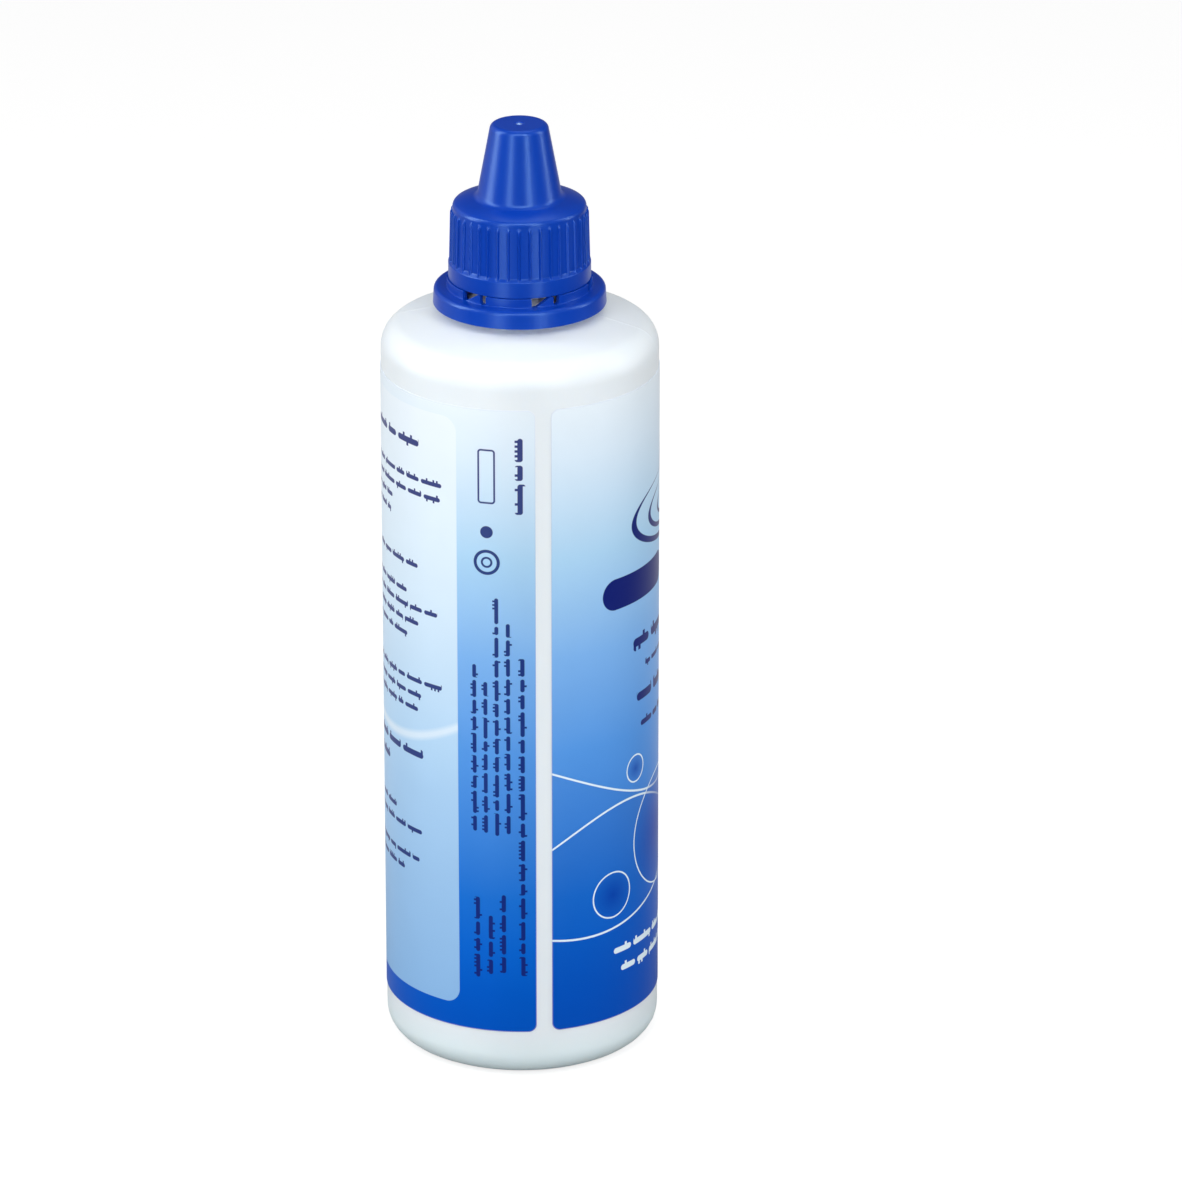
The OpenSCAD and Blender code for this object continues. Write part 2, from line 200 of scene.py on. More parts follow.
def volume_ml(piece):
    """The volume that a closed mesh holds, in millilitres. It comes out negative if inside out."""
    shape = bmesh.new()
    shape.from_mesh(piece.data)
    cubic_metres = shape.calc_volume(signed=True)
    shape.free()
    return cubic_metres * 1e6


# %% [markdown]
# ## The bottle
# The bottle is blown: a hot tube of polyethylene is caught between two halves of a mould and
# blown out against them. It has a thin wall, a push-up in its base, and two faint lines where
# the mould closed. The same plane leaves a welded ridge across the base, where the tube was
# pinched shut. The outline below goes from the axis under the base, up the outside to the rim,
# and back down the inside, so the mesh is a real thin-walled vessel.

# %% Outline of the bottle
WALL = 1.0
HEEL = 5.0
SHOULDER = 5.0
SLOPE = radians(15)
SHOULDER_CORNER_Z = 143.04
FOOT_R = 18.0
PUSH_UP, PUSH_R, PUSH_EASE = 2.2, 13.5, 0.65
BAND_R, BAND_TOP = 12.2, 149.03
FLANGE_R, FLANGE_TOP = 14.75, 149.83
STEP_R, STEP_TOP = 12.1, 150.83
NECK_R, BORE_R = 10.3, 9.0


def cone_z(r, lower=0.0):
    """Height of the shoulder cone at a radius, or of the surface that lies lower mm under it."""
    return SHOULDER_CORNER_Z + (BODY_R - r) * tan(SLOPE) - lower / cos(SLOPE)


outside = rounded([
    (0, PUSH_UP, 0), (6, PUSH_UP - 0.08, 0), (PUSH_R, PUSH_UP - PUSH_EASE, 8), (FOOT_R, 0, 1.2),
    (BODY_R, 0, HEEL), (BODY_R, SHOULDER_CORNER_Z, SHOULDER), (BAND_R, cone_z(BAND_R), 1.0),
    (BAND_R, BAND_TOP, 0.3), (FLANGE_R, BAND_TOP, 0.15), (FLANGE_R, FLANGE_TOP, 0.2),
    (STEP_R, FLANGE_TOP, 0.25), (NECK_R + 0.6, STEP_TOP, 0.5), (NECK_R, STEP_TOP + 0.6, 0.4),
    (NECK_R, RIM_Z, 0.35), (BORE_R, RIM_Z, 0)])
inside = rounded([
    (BORE_R, RIM_Z, 0), (BORE_R, cone_z(BORE_R, WALL), 0.6),
    (BODY_R - WALL, cone_z(BODY_R - WALL, WALL), SHOULDER - WALL), (BODY_R - WALL, WALL, HEEL - WALL),
    (FOOT_R, WALL, 1.5), (PUSH_R, PUSH_UP + WALL - PUSH_EASE, 6), (0, PUSH_UP + WALL, 0)])
bottle_outline = outside + inside[1:]
print("points in the bottle's outline:", len(bottle_outline))

# %% [markdown]
# The mould lines are only a few hundredths of a millimetre high, but light finds them on the
# shoulder. They could be a bump in the material; as real relief they also show on the outline.
# A narrow bell curve gives the push, and a few extra columns stand close round each line.

# %% Mould lines and the pinched base
PARTING = 69
LINE_W, LINE_H = 0.32, 0.05
LINE_COLUMNS = (-0.7, -0.45, -0.25, 0, 0.25, 0.45, 0.7)
PINCH_W, PINCH_H, PINCH_R = 0.55, 0.3, 14.0
PINCH_FLATNESS, STANDING_Z = 0.25, 0.4
BOTTLE_COLUMNS = 240


def bell(x):
    """1 in the middle, 0 from one unit away, smooth in between."""
    return (1 - x * x) ** 2 if abs(x) < 1 else 0.0


def mould_relief(angle, index, point):
    """Height of the mould line, or of the ridge across the base, in mm."""
    if index >= len(outside) or point[1] > BAND_TOP or (point[1] < STANDING_Z and point[0] > PINCH_R):
        return 0.0
    away = abs(sin(radians(angle - PARTING))) * point[0]
    if point[1] < PUSH_UP + 0.1 and point[0] < PINCH_R:
        return PINCH_H * bell(away / PINCH_W) * bell(point[0] / PINCH_R) ** PINCH_FLATNESS
    return LINE_H * bell(away / LINE_W)


near_line = [PARTING + side + off for side in (0, 180) for off in LINE_COLUMNS]
bottle_shell = spin("bottle_shell", bottle_outline, even_angles(BOTTLE_COLUMNS, near_line), mould_relief)
print(f"plastic in the bottle: {volume_ml(bottle_shell):.1f} ml, {len(bottle_shell.data.polygons)} faces")

# %% [markdown]
# ## The drop nozzle
# A soft plug is pressed into the neck. Its three beads seal in the bore, its flange stops on the
# rim, and its cone ends in the fine hole that makes the drops. It is turned like the bottle.
# The cap hides it at rest, but it is a real piece, and unscrewing the cap needs it there.

# %% Outline of the nozzle
PLUG_R, PLUG_WALL = 8.85, 1.0
BEAD_COUNT, BEAD_H, BEAD_OUT = 3, 0.8, 0.19
NOZZLE_FLANGE_R, NOZZLE_Z = 10.0, RIM_Z + 1.4
LEAN_DEG = 10.6
CONE_R, CONE_WALL, TAPER = 6.2, 1.3, tan(radians(LEAN_DEG))
HOLE_R, HOLE_L = 0.75, 2.4
NOZZLE_COLUMNS = 128


def nozzle_r(z):
    """Outer radius of the nozzle's cone at a height."""
    return CONE_R - TAPER * (z - NOZZLE_Z)


bead_pitch = (RIM_Z - PLUG_Z - 1.0 - BEAD_H) / BEAD_COUNT
beads = []
for i in reversed(range(1, BEAD_COUNT + 1)):
    z = RIM_Z - i * bead_pitch
    beads += [(PLUG_R, z - BEAD_H / 2, 0.15), (PLUG_R + BEAD_OUT, z, 0.3), (PLUG_R, z + BEAD_H / 2, 0.15)]
nozzle_outline = rounded(
    [(PLUG_R - PLUG_WALL, PLUG_Z, 0.2), (PLUG_R - 0.4, PLUG_Z, 0.2), (PLUG_R, PLUG_Z + 1, 0.3)] + beads
    + [(PLUG_R, RIM_Z, 0.1), (NOZZLE_FLANGE_R, RIM_Z, 0.2), (NOZZLE_FLANGE_R, NOZZLE_Z, 0.3),
       (CONE_R, NOZZLE_Z, 0.6), (nozzle_r(TIP_Z), TIP_Z, 0.8), (HOLE_R, TIP_Z, 0.35),
       (HOLE_R, TIP_Z - HOLE_L, 0.1), (nozzle_r(TIP_Z - HOLE_L) - CONE_WALL, TIP_Z - HOLE_L - 0.6, 0.3),
       (nozzle_r(RIM_Z) - CONE_WALL, RIM_Z, 0.3), (PLUG_R - PLUG_WALL, RIM_Z - CONE_WALL, 0.3)])
nozzle = spin("drop_nozzle", nozzle_outline, even_angles(NOZZLE_COLUMNS))
print(f"plastic in the nozzle: {volume_ml(nozzle):.2f} ml")

# %% [markdown]
# ## Node trees that do what repeats
# Three things on this bottle repeat or follow a path: the grip ribs, the screw threads and the
# six sectors of the tamper ring. Each gets a Geometry Nodes tree, built here in code, and every
# finish is a tree too. A tree is full of small sums, so what a node gives is wrapped as a Number:
# writing `a - b` with it places a Math node. The sums could be typed as nodes one by one, but
# then nobody would see the formula. The trees are run and the result is kept as a plain mesh,
# because a live modifier isn't wanted on a finished piece.

# %% Nodes from sums
class Number:
    """What one node gives: a number, a vector, a colour or a shape. Sums with it place Math nodes."""

    def __init__(self, socket):
        self.socket = socket
        self.tree = socket.id_data


def plug(socket, value):
    """Gives an input a plain value, or links what another node gives to it."""
    if isinstance(value, Number):
        value.tree.links.new(value.socket, socket)
    else:
        socket.default_value = value


def put(tree, kind, inputs=(), give=0, **settings):
    """Places a node and gives one of its results. `inputs` pairs a socket's name or number with a value."""
    node = tree.nodes.new(kind)
    for key, value in settings.items():
        setattr(node, key, value)
    for key, value in dict(inputs).items():
        plug(node.inputs[key], value)
    return Number(node.outputs[give])


def results(node):
    """Everything that a node gives, by name."""
    return {socket.name: Number(socket) for socket in node.outputs}


def calc(operation, *values):
    """A Math node's result. It works the same in geometry trees and in materials."""
    tree = next(value.tree for value in values if isinstance(value, Number))
    return put(tree, "ShaderNodeMath", enumerate(values), operation=operation)


for sign, operation in (("add", "ADD"), ("sub", "SUBTRACT"), ("mul", "MULTIPLY"), ("truediv", "DIVIDE"),
                        ("gt", "GREATER_THAN"), ("lt", "LESS_THAN"), ("abs", "ABSOLUTE")):
    setattr(Number, f"__{sign}__", lambda *values, operation=operation: calc(operation, *values))
Number.__rsub__ = lambda self, other: calc("SUBTRACT", other, self)
Number.__rtruediv__ = lambda self, other: calc("DIVIDE", other, self)


most = functools.partial(calc, "MAXIMUM")
least = functools.partial(calc, "MINIMUM")


def hypot(a, b):
    """The length of a sideways and an upwards step together."""
    return calc("SQRT", calc("POWER", a, 2.0) + calc("POWER", b, 2.0))


def apart(vector):
    """The three parts of a vector."""
    node = put(vector.tree, "ShaderNodeSeparateXYZ", {0: vector}).socket.node
    return list(results(node).values())


def ramp(value, start=0.0, end=1.0, low=0.0, high=1.0, soft=False):
    """A value carried over from start..end to low..high, and held there beyond the ends."""
    sizes = {"Value": value, "From Min": start, "From Max": end, "To Min": low, "To Max": high}
    return put(value.tree, "ShaderNodeMapRange", sizes, interpolation_type="SMOOTHSTEP" if soft else "LINEAR")


# %% Starting, ending and running a tree
def new_tree(name, sizes, kind="GeometryNodeTree"):
    """An empty tree with one number input for each size, and in Geometry Nodes a mesh in and out."""
    tree = bpy.data.node_groups.new(name, kind)
    result, socket_type = ("Ink", "NodeSocketFloat")
    if kind == "GeometryNodeTree":
        result, socket_type = ("Mesh", "NodeSocketGeometry")
        tree.interface.new_socket(result, in_out="INPUT", socket_type=socket_type)
    for label in sizes:
        tree.interface.new_socket(label, in_out="INPUT", socket_type="NodeSocketFloat")
    tree.interface.new_socket(result, in_out="OUTPUT", socket_type=socket_type)
    given = results(tree.nodes.new("NodeGroupInput"))
    return tree, given, tree.nodes.new("NodeGroupOutput").inputs[0]


def end_tree(result, out, material=None, weld=None):
    """Realizes instances, welds them if asked, sets the material and gives back its socket."""
    result = put(result.tree, "GeometryNodeRealizeInstances", {0: result})
    if weld:
        result = put(result.tree, "GeometryNodeMergeByDistance", {"Geometry": result, "Distance": weld})
    result = put(result.tree, "GeometryNodeSetMaterial", {"Geometry": result, "Material": material})
    plug(out, result)
    return result.socket.node.inputs["Material"]


def run_tree(piece, tree, plain, lengths):
    """Runs a tree with plain numbers and lengths in mm, and keeps the result as the piece's mesh."""
    sizes = {**plain, **{label: length * MM for label, length in lengths.items()}}
    modifier = piece.modifiers.new(tree.name, "NODES")
    modifier.node_group = tree
    for item in tree.interface.items_tree:
        if item.in_out == "INPUT" and item.name in sizes:
            modifier[item.identifier] = float(sizes[item.name])
    seen = piece.evaluated_get(bpy.context.evaluated_depsgraph_get())
    mesh = bpy.data.meshes.new_from_object(seen)
    piece.modifiers.remove(modifier)
    piece.data = mesh
    finish_mesh(mesh)
    print(tree.name, "made", len(mesh.polygons), "faces of", piece.name)


# %% [markdown]
# ## Finishes
# The finishes come before the pieces that are grown by nodes, because each tree ends in a Set
# Material node. Every finish is procedural: it is worked out from the object's own coordinates,
# so it stays put when the piece moves. Colours are given as they look, from 0 to 255, and this
# helper turns them into the linear numbers that Blender mixes with.

# %% Colours and a basic plastic
def paint(red, green, blue):
    """A colour given from 0 to 255 as it looks, as Blender's linear numbers."""
    def linear(x):
        x /= 255
        return x / 12.92 if x <= 0.04045 else ((x + 0.055) / 1.055) ** 2.4
    return (linear(red), linear(green), linear(blue), 1.0)


def start_material(name, roughness, **constants):
    """A material with its tree and shader. Numbers that are the same all over are set on the shader."""
    made = bpy.data.materials.new(name)
    made.use_nodes = True
    shader = made.node_tree.nodes["Principled BSDF"]
    shader.inputs["Roughness"].default_value = roughness
    for key, value in constants.items():
        shader.inputs[key.replace("_", " ")].default_value = value
    return made, made.node_tree, shader


def own_place(tree):
    """Where a point lies in its object's own coordinates, in metres."""
    return put(tree, "ShaderNodeTexCoord", give="Object")


def stretched(place, along_z):
    """The same place with Z squeezed, so that a noise read there runs in upright streaks."""
    return put(place.tree, "ShaderNodeMapping", {"Vector": place, "Scale": (1.0, 1.0, along_z)})


def noise(place, scale, detail=2.0):
    """A grey noise from 0 to 1 with so many cells to the metre."""
    return put(place.tree, "ShaderNodeTexNoise", {"Vector": place, "Scale": scale, "Detail": detail})


def mixed(factor, first, second):
    """One colour where the factor is 0, and the other where it is 1."""
    return put(factor.tree, "ShaderNodeMix", {0: factor, 6: first, 7: second}, give=2, data_type="RGBA")


def dress(shader, colour, roughness, height, metres):
    """Links a colour, a roughness, and a bump that is so many metres high where `height` is 1."""
    plug(shader.inputs["Base Color"], colour)
    plug(shader.inputs["Roughness"], roughness)
    sizes = {"Height": height, "Distance": metres, "Strength": 1.0}
    plug(shader.inputs["Normal"], put(height.tree, "ShaderNodeBump", sizes))


print("paint(255, 255, 255) is", paint(255, 255, 255))

# %% [markdown]
# Blown polyethylene is a milky white with a satin skin. A little light goes in and comes out
# again nearby, which softens its shadows: that is subsurface scattering, with a depth of about a
# millimetre. The skin shows two things up close: a fine orange peel, and faint upright streaks
# from the die that the hot tube came out of. The neck is painted whiter, a painted lift of light for
# the shade it lies in behind the ring's windows, and the heel under the labels is painted a little
# darker and cooler, as painted shade.

# %% White bottle plastic
bottle_plastic, tree, shader = start_material(
    "bottle_plastic", 0.36, IOR=1.5, Specular_IOR_Level=0.4, Subsurface_Weight=0.35, Subsurface_Scale=0.0007,
    Subsurface_Radius=(1.0, 1.1, 1.2))
place = own_place(tree)
streak_place = stretched(place, 0.03)
peel = noise(place, 900, 3)
streaks = noise(streak_place, 420, 3)
cloud = noise(place, 60)
WHITE, WHITE_DEEP = paint(235, 242, 247), paint(231, 239, 245)
NECK_LIFT_WHITE, HEEL_SHADE_WHITE = paint(250, 252, 255), paint(224, 240, 244)
_, _, height = apart(place)
# Painted light: the neck above the ring is painted whiter to lift the shade behind the ring's windows.
neck_lift = ramp(height, RING_Z * MM, (RING_Z + 1) * MM)
# Painted shade: the heel under the labels is painted darker and cooler.
heel_shade = ramp(height, LABEL_Z * MM, 0.3 * LABEL_Z * MM)
white = mixed(neck_lift, mixed(cloud, WHITE, WHITE_DEEP), NECK_LIFT_WHITE)
dress(shader, mixed(heel_shade, white, HEEL_SHADE_WHITE), ramp(streaks, low=0.30, high=0.42),
      peel * 0.6 + streaks * 0.8, 0.00001)

# %% [markdown]
# The nozzle is natural polyethylene, with no pigment, so more light goes through it and it
# looks like wax. It has a smoother skin than the bottle, because its steel mould is polished.

# %% Waxy nozzle plastic
nozzle_plastic, tree, shader = start_material(
    "nozzle_plastic", 0.3, IOR=1.5, Subsurface_Weight=0.6, Subsurface_Scale=0.002,
    Subsurface_Radius=(1.0, 0.95, 0.85))
wax = noise(own_place(tree), 350, 3)
waxy = mixed(wax, paint(228, 228, 222), paint(238, 238, 234))
dress(shader, waxy, ramp(wax, low=0.28, high=0.36), wax, 0.000006)

# %% [markdown]
# The cap and its ring are one moulding in royal blue polypropylene, with a satin skin from a
# finely blasted mould. Pigment never mixes perfectly, so the blue drifts a little, in soft
# flow lines that run from the gate at the tip down the spire. The small gate scar on the tip is
# painted pale, as a painted highlight.

# %% Royal blue cap plastic
cap_plastic, tree, shader = start_material(
    "cap_plastic", 0.31, IOR=1.49, Specular_IOR_Level=1.0, Specular_Tint=(0.35, 0.65, 1.0, 1.0),
    Subsurface_Weight=0.08, Subsurface_Scale=0.0006, Subsurface_Radius=(0.3, 0.6, 1.0))
place = own_place(tree)
flow = noise(stretched(place, 0.12), 260, 3)
grain = noise(place, 4200)
BLUE, BLUE_LIGHT, GATE_GLINT_BLUE = paint(0, 56, 169), paint(1, 60, 175), paint(150, 182, 236)
x, y, z = apart(place)
# Painted highlight: a pale dot is painted on the gate scar at the spire's tip.
near_gate_glint = ramp(hypot(x, y), 0.7 * MM, 0.3 * MM)
gate_glint = near_gate_glint * (z > (SPIRE_Z - 0.5) * MM)
dress(shader, mixed(gate_glint, mixed(flow, BLUE, BLUE_LIGHT), GATE_GLINT_BLUE), ramp(flow, low=0.29, high=0.33),
      grain, 0.000002)
print("plain finishes:", [m.name for m in (bottle_plastic, nozzle_plastic, cap_plastic)])

# %% [markdown]
# ## The screw cap
# The cap is the showpiece: a plain collar at its rim, a ribbed skirt for the fingers, a crowned
# shoulder, and a hollow spire that houses the nozzle. A pin inside the spire's tip stops the
# drop hole. Its outline runs from the pin's end, down the inside to the rim, and up the outside.

# %% Sizes of the cap
CAP_BORE = 11.45
COLLAR_R, LEDGE_Z = 13.30, CAP_Z + 3.0
SKIRT_LOW_R, SKIRT_TOP_R = 12.70, 12.45
LEDGE_TOP = LEDGE_Z + COLLAR_R - SKIRT_LOW_R
CAP_ROOF, CROWN_R, EDGE_R = NOZZLE_Z + 0.3, 11.0, 0.9
SPIRE_R, SPIRE_WALL, FOOT_FILLET, TOP_EDGE = 8.3, 1.5, 1.3, 1.1
SPIRE_FOOT_Z = SPIRE_Z - 11
SPIRE_ROOF = TIP_Z + 2.3
PIN_R, PIN_Z = 0.68, TIP_Z - 1.5
GATE_R, GATE_H = 0.6, 0.2


def spire_r(z):
    """Outer radius of the spire at a height."""
    return SPIRE_R - TAPER * (z - NOZZLE_Z)


crown_c = (SPIRE_R - 1.1, CAP_ROOF + 1.5 - CROWN_R)
edge_r = SKIRT_TOP_R - EDGE_R
edge_c = (edge_r, crown_c[1] + sqrt((CROWN_R - EDGE_R) ** 2 - (edge_r - crown_c[0]) ** 2))
edge_turn = degrees(atan2(edge_c[1] - crown_c[1], edge_c[0] - crown_c[0]))

# %% [markdown]
# The fillet at the spire's foot has to touch both the crown's arc and the spire's slanting side.
# Its centre lies at one distance from each, which is a line cutting a circle: a quadratic.

# %% The fillet between crown and spire
across = spire_r(crown_c[1]) + FOOT_FILLET / cos(radians(LEAN_DEG)) - crown_c[0]
quad = 1 + TAPER * TAPER
under_root = (across * TAPER) ** 2 - quad * (across ** 2 - (CROWN_R + FOOT_FILLET) ** 2)
rise = (across * TAPER + sqrt(under_root)) / quad
foot_c = (crown_c[0] + across - TAPER * rise, crown_c[1] + rise)
foot_turn = degrees(atan2(foot_c[1] - crown_c[1], foot_c[0] - crown_c[0]))
print(f"crown {crown_c}, foot fillet centred at {foot_c[0]:.2f}, {foot_c[1]:.2f}")

# %% Cap outline, inside and outside
UNDER_RIM, HIDDEN_ARC_STEP = (12.5, CAP_Z, 0), 15
cap_inside = rounded([
    (0, PIN_Z, 0), (PIN_R, PIN_Z, 0.2), (PIN_R, TIP_Z + 0.8, 0.2), (PIN_R + 0.6, SPIRE_ROOF, 0.2),
    (spire_r(SPIRE_ROOF) - SPIRE_WALL, SPIRE_ROOF, 0.6), (spire_r(CAP_ROOF) - SPIRE_WALL, CAP_ROOF, 0.6),
    (CAP_BORE, CAP_ROOF, 1.2), (CAP_BORE, CAP_Z + 0.5, 0.2), (CAP_BORE + 0.35, CAP_Z, 0.1),
    UNDER_RIM], HIDDEN_ARC_STEP)
collar = rounded([
    UNDER_RIM, (COLLAR_R, CAP_Z, 0.1), (COLLAR_R, LEDGE_Z, 0.18), (SKIRT_LOW_R, LEDGE_TOP, 0.25),
    (SKIRT_LOW_R - 0.01, LEDGE_TOP + 1, 0)])[1:]
RIB_TOP = edge_c[1] - 0.25
skirt_steps = [LEDGE_TOP + 1 + (RIB_TOP - 1 - LEDGE_TOP - 1) * i / 4 for i in range(1, 5)]
skirt_steps += [RIB_TOP - 1 + i / 8 for i in range(1, 11)]


def skirt_r(z):
    """Radius of the skirt between the ribs, with its draft."""
    return SKIRT_LOW_R + (SKIRT_TOP_R - SKIRT_LOW_R) * (z - LEDGE_TOP) / (edge_c[1] - LEDGE_TOP)


skirt = [Vector((skirt_r(z), z)) for z in skirt_steps if z < edge_c[1] - 0.05]
crown = arc(edge_c, EDGE_R, 0, edge_turn) + arc(crown_c, CROWN_R, edge_turn, foot_turn)[1:]
foot = arc(foot_c, FOOT_FILLET, 180 + foot_turn, 180 + LEAN_DEG)[1:]
spire = rounded([
    (spire_r(SPIRE_FOOT_Z), SPIRE_FOOT_Z, 0), (spire_r(SPIRE_Z), SPIRE_Z, TOP_EDGE),
    (GATE_R + 0.35, SPIRE_Z, 0.15), (GATE_R, SPIRE_Z - GATE_H, 0.1), (0.3, SPIRE_Z - GATE_H, 0.08),
    (0.22, SPIRE_Z - 0.03, 0.08), (0, SPIRE_Z - 0.02, 0)])
cap_outline = cap_inside + collar + skirt + crown + foot + spire
print("points in the cap's outline:", len(cap_outline))

# %% [markdown]
# ### Grip ribs, grown out of the skirt
# Forty fine ribs run up the skirt. They could be forty bars laid on it, but on a moulding they
# are one with the wall and meet it in a small fillet. So the tree below moves the skirt's own
# points outwards: `pulse` is a soft-edged rib that repeats round the axis, and `back_line` is the
# line that the ribs' backs follow, with its run-out at the top. Where the wall already lies
# further out, as on the sloping ledge, nothing moves, so the ribs stand on it.

# %% The rib tree
RUN_OUT, BELOW_END, TINY = 0.9 * MM, 0.6 * MM, 1e-6
ribs, size, out = new_tree("grip_ribs", (
    "Rib count", "First rib", "Rib width", "Fillet", "Crest low", "Crest top",
    "Low end", "Top end", "Inner limit"))
x, y, z = apart(put(ribs, "GeometryNodeInputPosition"))
radius = hypot(x, y)
turn = calc("ARCTAN2", y, x) - size["First rib"]
period = tau / size["Rib count"]
in_period = calc("FLOORED_MODULO", turn / period + 0.5, 1.0) - 0.5
beside = abs(in_period) * (period * radius)
half_width = size["Rib width"] * 0.5
pulse = ramp(beside, half_width + size["Fillet"], half_width - size["Fillet"], soft=True)
back_line = ramp(z, size["Low end"], size["Top end"], size["Crest low"], size["Crest top"])
run_out = ramp(z, size["Top end"], size["Top end"] - RUN_OUT, soft=True)
gain = most(back_line - radius, 0.0) * run_out
above = z > size["Low end"] - BELOW_END
outer = radius > size["Inner limit"]
push = gain * pulse * (above * outer)
outwards = put(ribs, "ShaderNodeCombineXYZ", {0: x / most(radius, TINY), 1: y / most(radius, TINY)})
offset = put(ribs, "ShaderNodeVectorMath", {0: outwards, 3: push}, operation="SCALE")
end_tree(put(ribs, "GeometryNodeSetPosition", {"Geometry": size["Mesh"], "Offset": offset}), out, cap_plastic)

# %% Turn the cap and grow its ribs
RIB_COUNT, FIRST_RIB = 40, -0.75
RIB_W, RIB_H, RIB_FILLET, INNER_LIMIT = 0.34, 0.42, 0.11, 12.1
beside_rib = [degrees(gap / SKIRT_LOW_R) for gap in (0, 0.06, 0.115, 0.17, 0.225, 0.28, 0.6)]
rib_angles = []
for i in range(RIB_COUNT):
    middle = FIRST_RIB + i * 360 / RIB_COUNT
    for swing in beside_rib:
        rib_angles += [middle + swing, middle - swing]
    rib_angles.append(middle + 180 / RIB_COUNT)
cap = spin("cap_shell", cap_outline, even_angles(4, rib_angles))
print(f"plastic in the cap: {volume_ml(cap):.2f} ml before its ribs")
run_tree(cap, ribs, {"Rib count": RIB_COUNT, "First rib": radians(FIRST_RIB)}, {
    "Rib width": RIB_W, "Fillet": RIB_FILLET, "Crest low": SKIRT_LOW_R + RIB_H,
    "Crest top": SKIRT_TOP_R + RIB_H, "Low end": LEDGE_TOP, "Top end": RIB_TOP, "Inner limit": INNER_LIMIT})
print(f"cap with ribs: {volume_ml(cap):.2f} ml")

# %% [markdown]
# ## Screw threads
# A thread is a ridge that follows a helix. The tree bends a straight curve into the helix by its
# own factor along it, then sweeps a small trapezium along it. The ridge shrinks to nothing at
# both ends, as a moulded thread does. The neck's thread stands out and the cap's stands in, half
# a lead apart on the same helix, so the two never touch while the cap turns and climbs.

# %% The thread tree
THREAD_BENDS, THREAD_EDGE, THREAD_END = 160, 0.2 * MM, 0.02
thread, size, out = new_tree("helix_thread", (
    "Turns", "Start height", "Lead", "Root radius", "Sink", "Depth", "Foot half", "Crest half", "Run-in"))
line = put(thread, "GeometryNodeCurvePrimitiveLine")
bends = put(thread, "GeometryNodeResampleCurve", {"Curve": line, "Count": THREAD_BENDS})
factor = put(thread, "GeometryNodeSplineParameter", give="Factor")
turned = factor * size["Turns"]
angle = turned * tau
spot = put(thread, "ShaderNodeCombineXYZ", {
    0: calc("COSINE", angle) * size["Root radius"], 1: calc("SINE", angle) * size["Root radius"],
    2: turned * size["Lead"] + size["Start height"]})
helix = put(thread, "GeometryNodeSetPosition", {"Geometry": bends, "Position": spot})
upright = put(thread, "GeometryNodeSetCurveNormal", {"Curve": helix}, mode="Z_UP")
fade = ramp(least(factor, 1.0 - factor), 0.0, size["Run-in"], THREAD_END, soft=True)
sized = put(thread, "GeometryNodeSetCurveRadius", {"Curve": upright, "Radius": fade})
corners = {}
for outwards, upwards, way in (("Sink", "Foot half", -1.0), ("Depth", "Crest half", -1.0),
                               ("Depth", "Crest half", 1.0), ("Sink", "Foot half", 1.0)):
    corner = put(thread, "ShaderNodeCombineXYZ", {0: size[outwards], 1: size[upwards] * way})
    corners[f"Point {len(corners) + 1}"] = corner
section = put(thread, "GeometryNodeCurvePrimitiveQuadrilateral", corners, mode="POINTS")
soft_section = put(thread, "GeometryNodeFilletCurve", {"Curve": section, "Radius": THREAD_EDGE}, mode="POLY")
swept = put(thread, "GeometryNodeCurveToMesh", {
    "Curve": sized, "Profile Curve": soft_section, "Fill Caps": True, "Scale": fade})
thread_material = end_tree(swept, out)

# %% Both threads
LEAD, RUN_IN, WELD = 3.0, 0.09, 1e-7
NECK_THREAD_Z = STEP_TOP + 3.8


def grow_thread(name, material, turns, lengths):
    """A helical ridge of so many turns, with lengths in mm, for the piece that it is moulded on."""
    ridge = new_object(name, bpy.data.meshes.new(name))
    thread_material.default_value = material
    run_tree(ridge, thread, {"Turns": turns, "Run-in": RUN_IN}, {"Lead": LEAD, **lengths})
    shape = bmesh.new()
    shape.from_mesh(ridge.data)
    bmesh.ops.remove_doubles(shape, verts=shape.verts, dist=WELD)
    bmesh.ops.recalc_face_normals(shape, faces=shape.faces)
    shape.to_mesh(ridge.data)
    shape.free()
    finish_mesh(ridge.data)
    reach = [v.co.xy.length / MM for v in ridge.data.vertices]
    print(f"{name}: radius {min(reach):.2f} to {max(reach):.2f} mm")
    return ridge


def join_into(piece, other):
    """Makes two meshes one object, as one moulding is one piece."""
    with bpy.context.temp_override(active_object=piece, selected_editable_objects=[piece, other]):
        bpy.ops.object.join()


bottle_shell.data.materials.append(bottle_plastic)
join_into(bottle_shell, grow_thread("neck_thread", bottle_plastic, 2.6, {
    "Start height": NECK_THREAD_Z, "Root radius": NECK_R, "Sink": -0.25, "Depth": 0.88,
    "Foot half": 0.75, "Crest half": 0.32}))
join_into(cap, grow_thread("cap_thread", cap_plastic, 1.1, {
    "Start height": NECK_THREAD_Z + LEAD / 2, "Root radius": CAP_BORE, "Sink": 0.25, "Depth": -0.8,
    "Foot half": 0.6, "Crest half": 0.3}))

# %% [markdown]
# ## The tamper ring
# When the cap is first turned, thin bridges snap and this ring stays on the neck. Its upright
# collar is cut by six ramped windows and six round notches. Because the pattern repeats, only
# one sixth is built: a strip of ring sections, column by column, in which the top of the collar
# goes up and down. A tree then sets six of them round the axis and welds them into one ring.

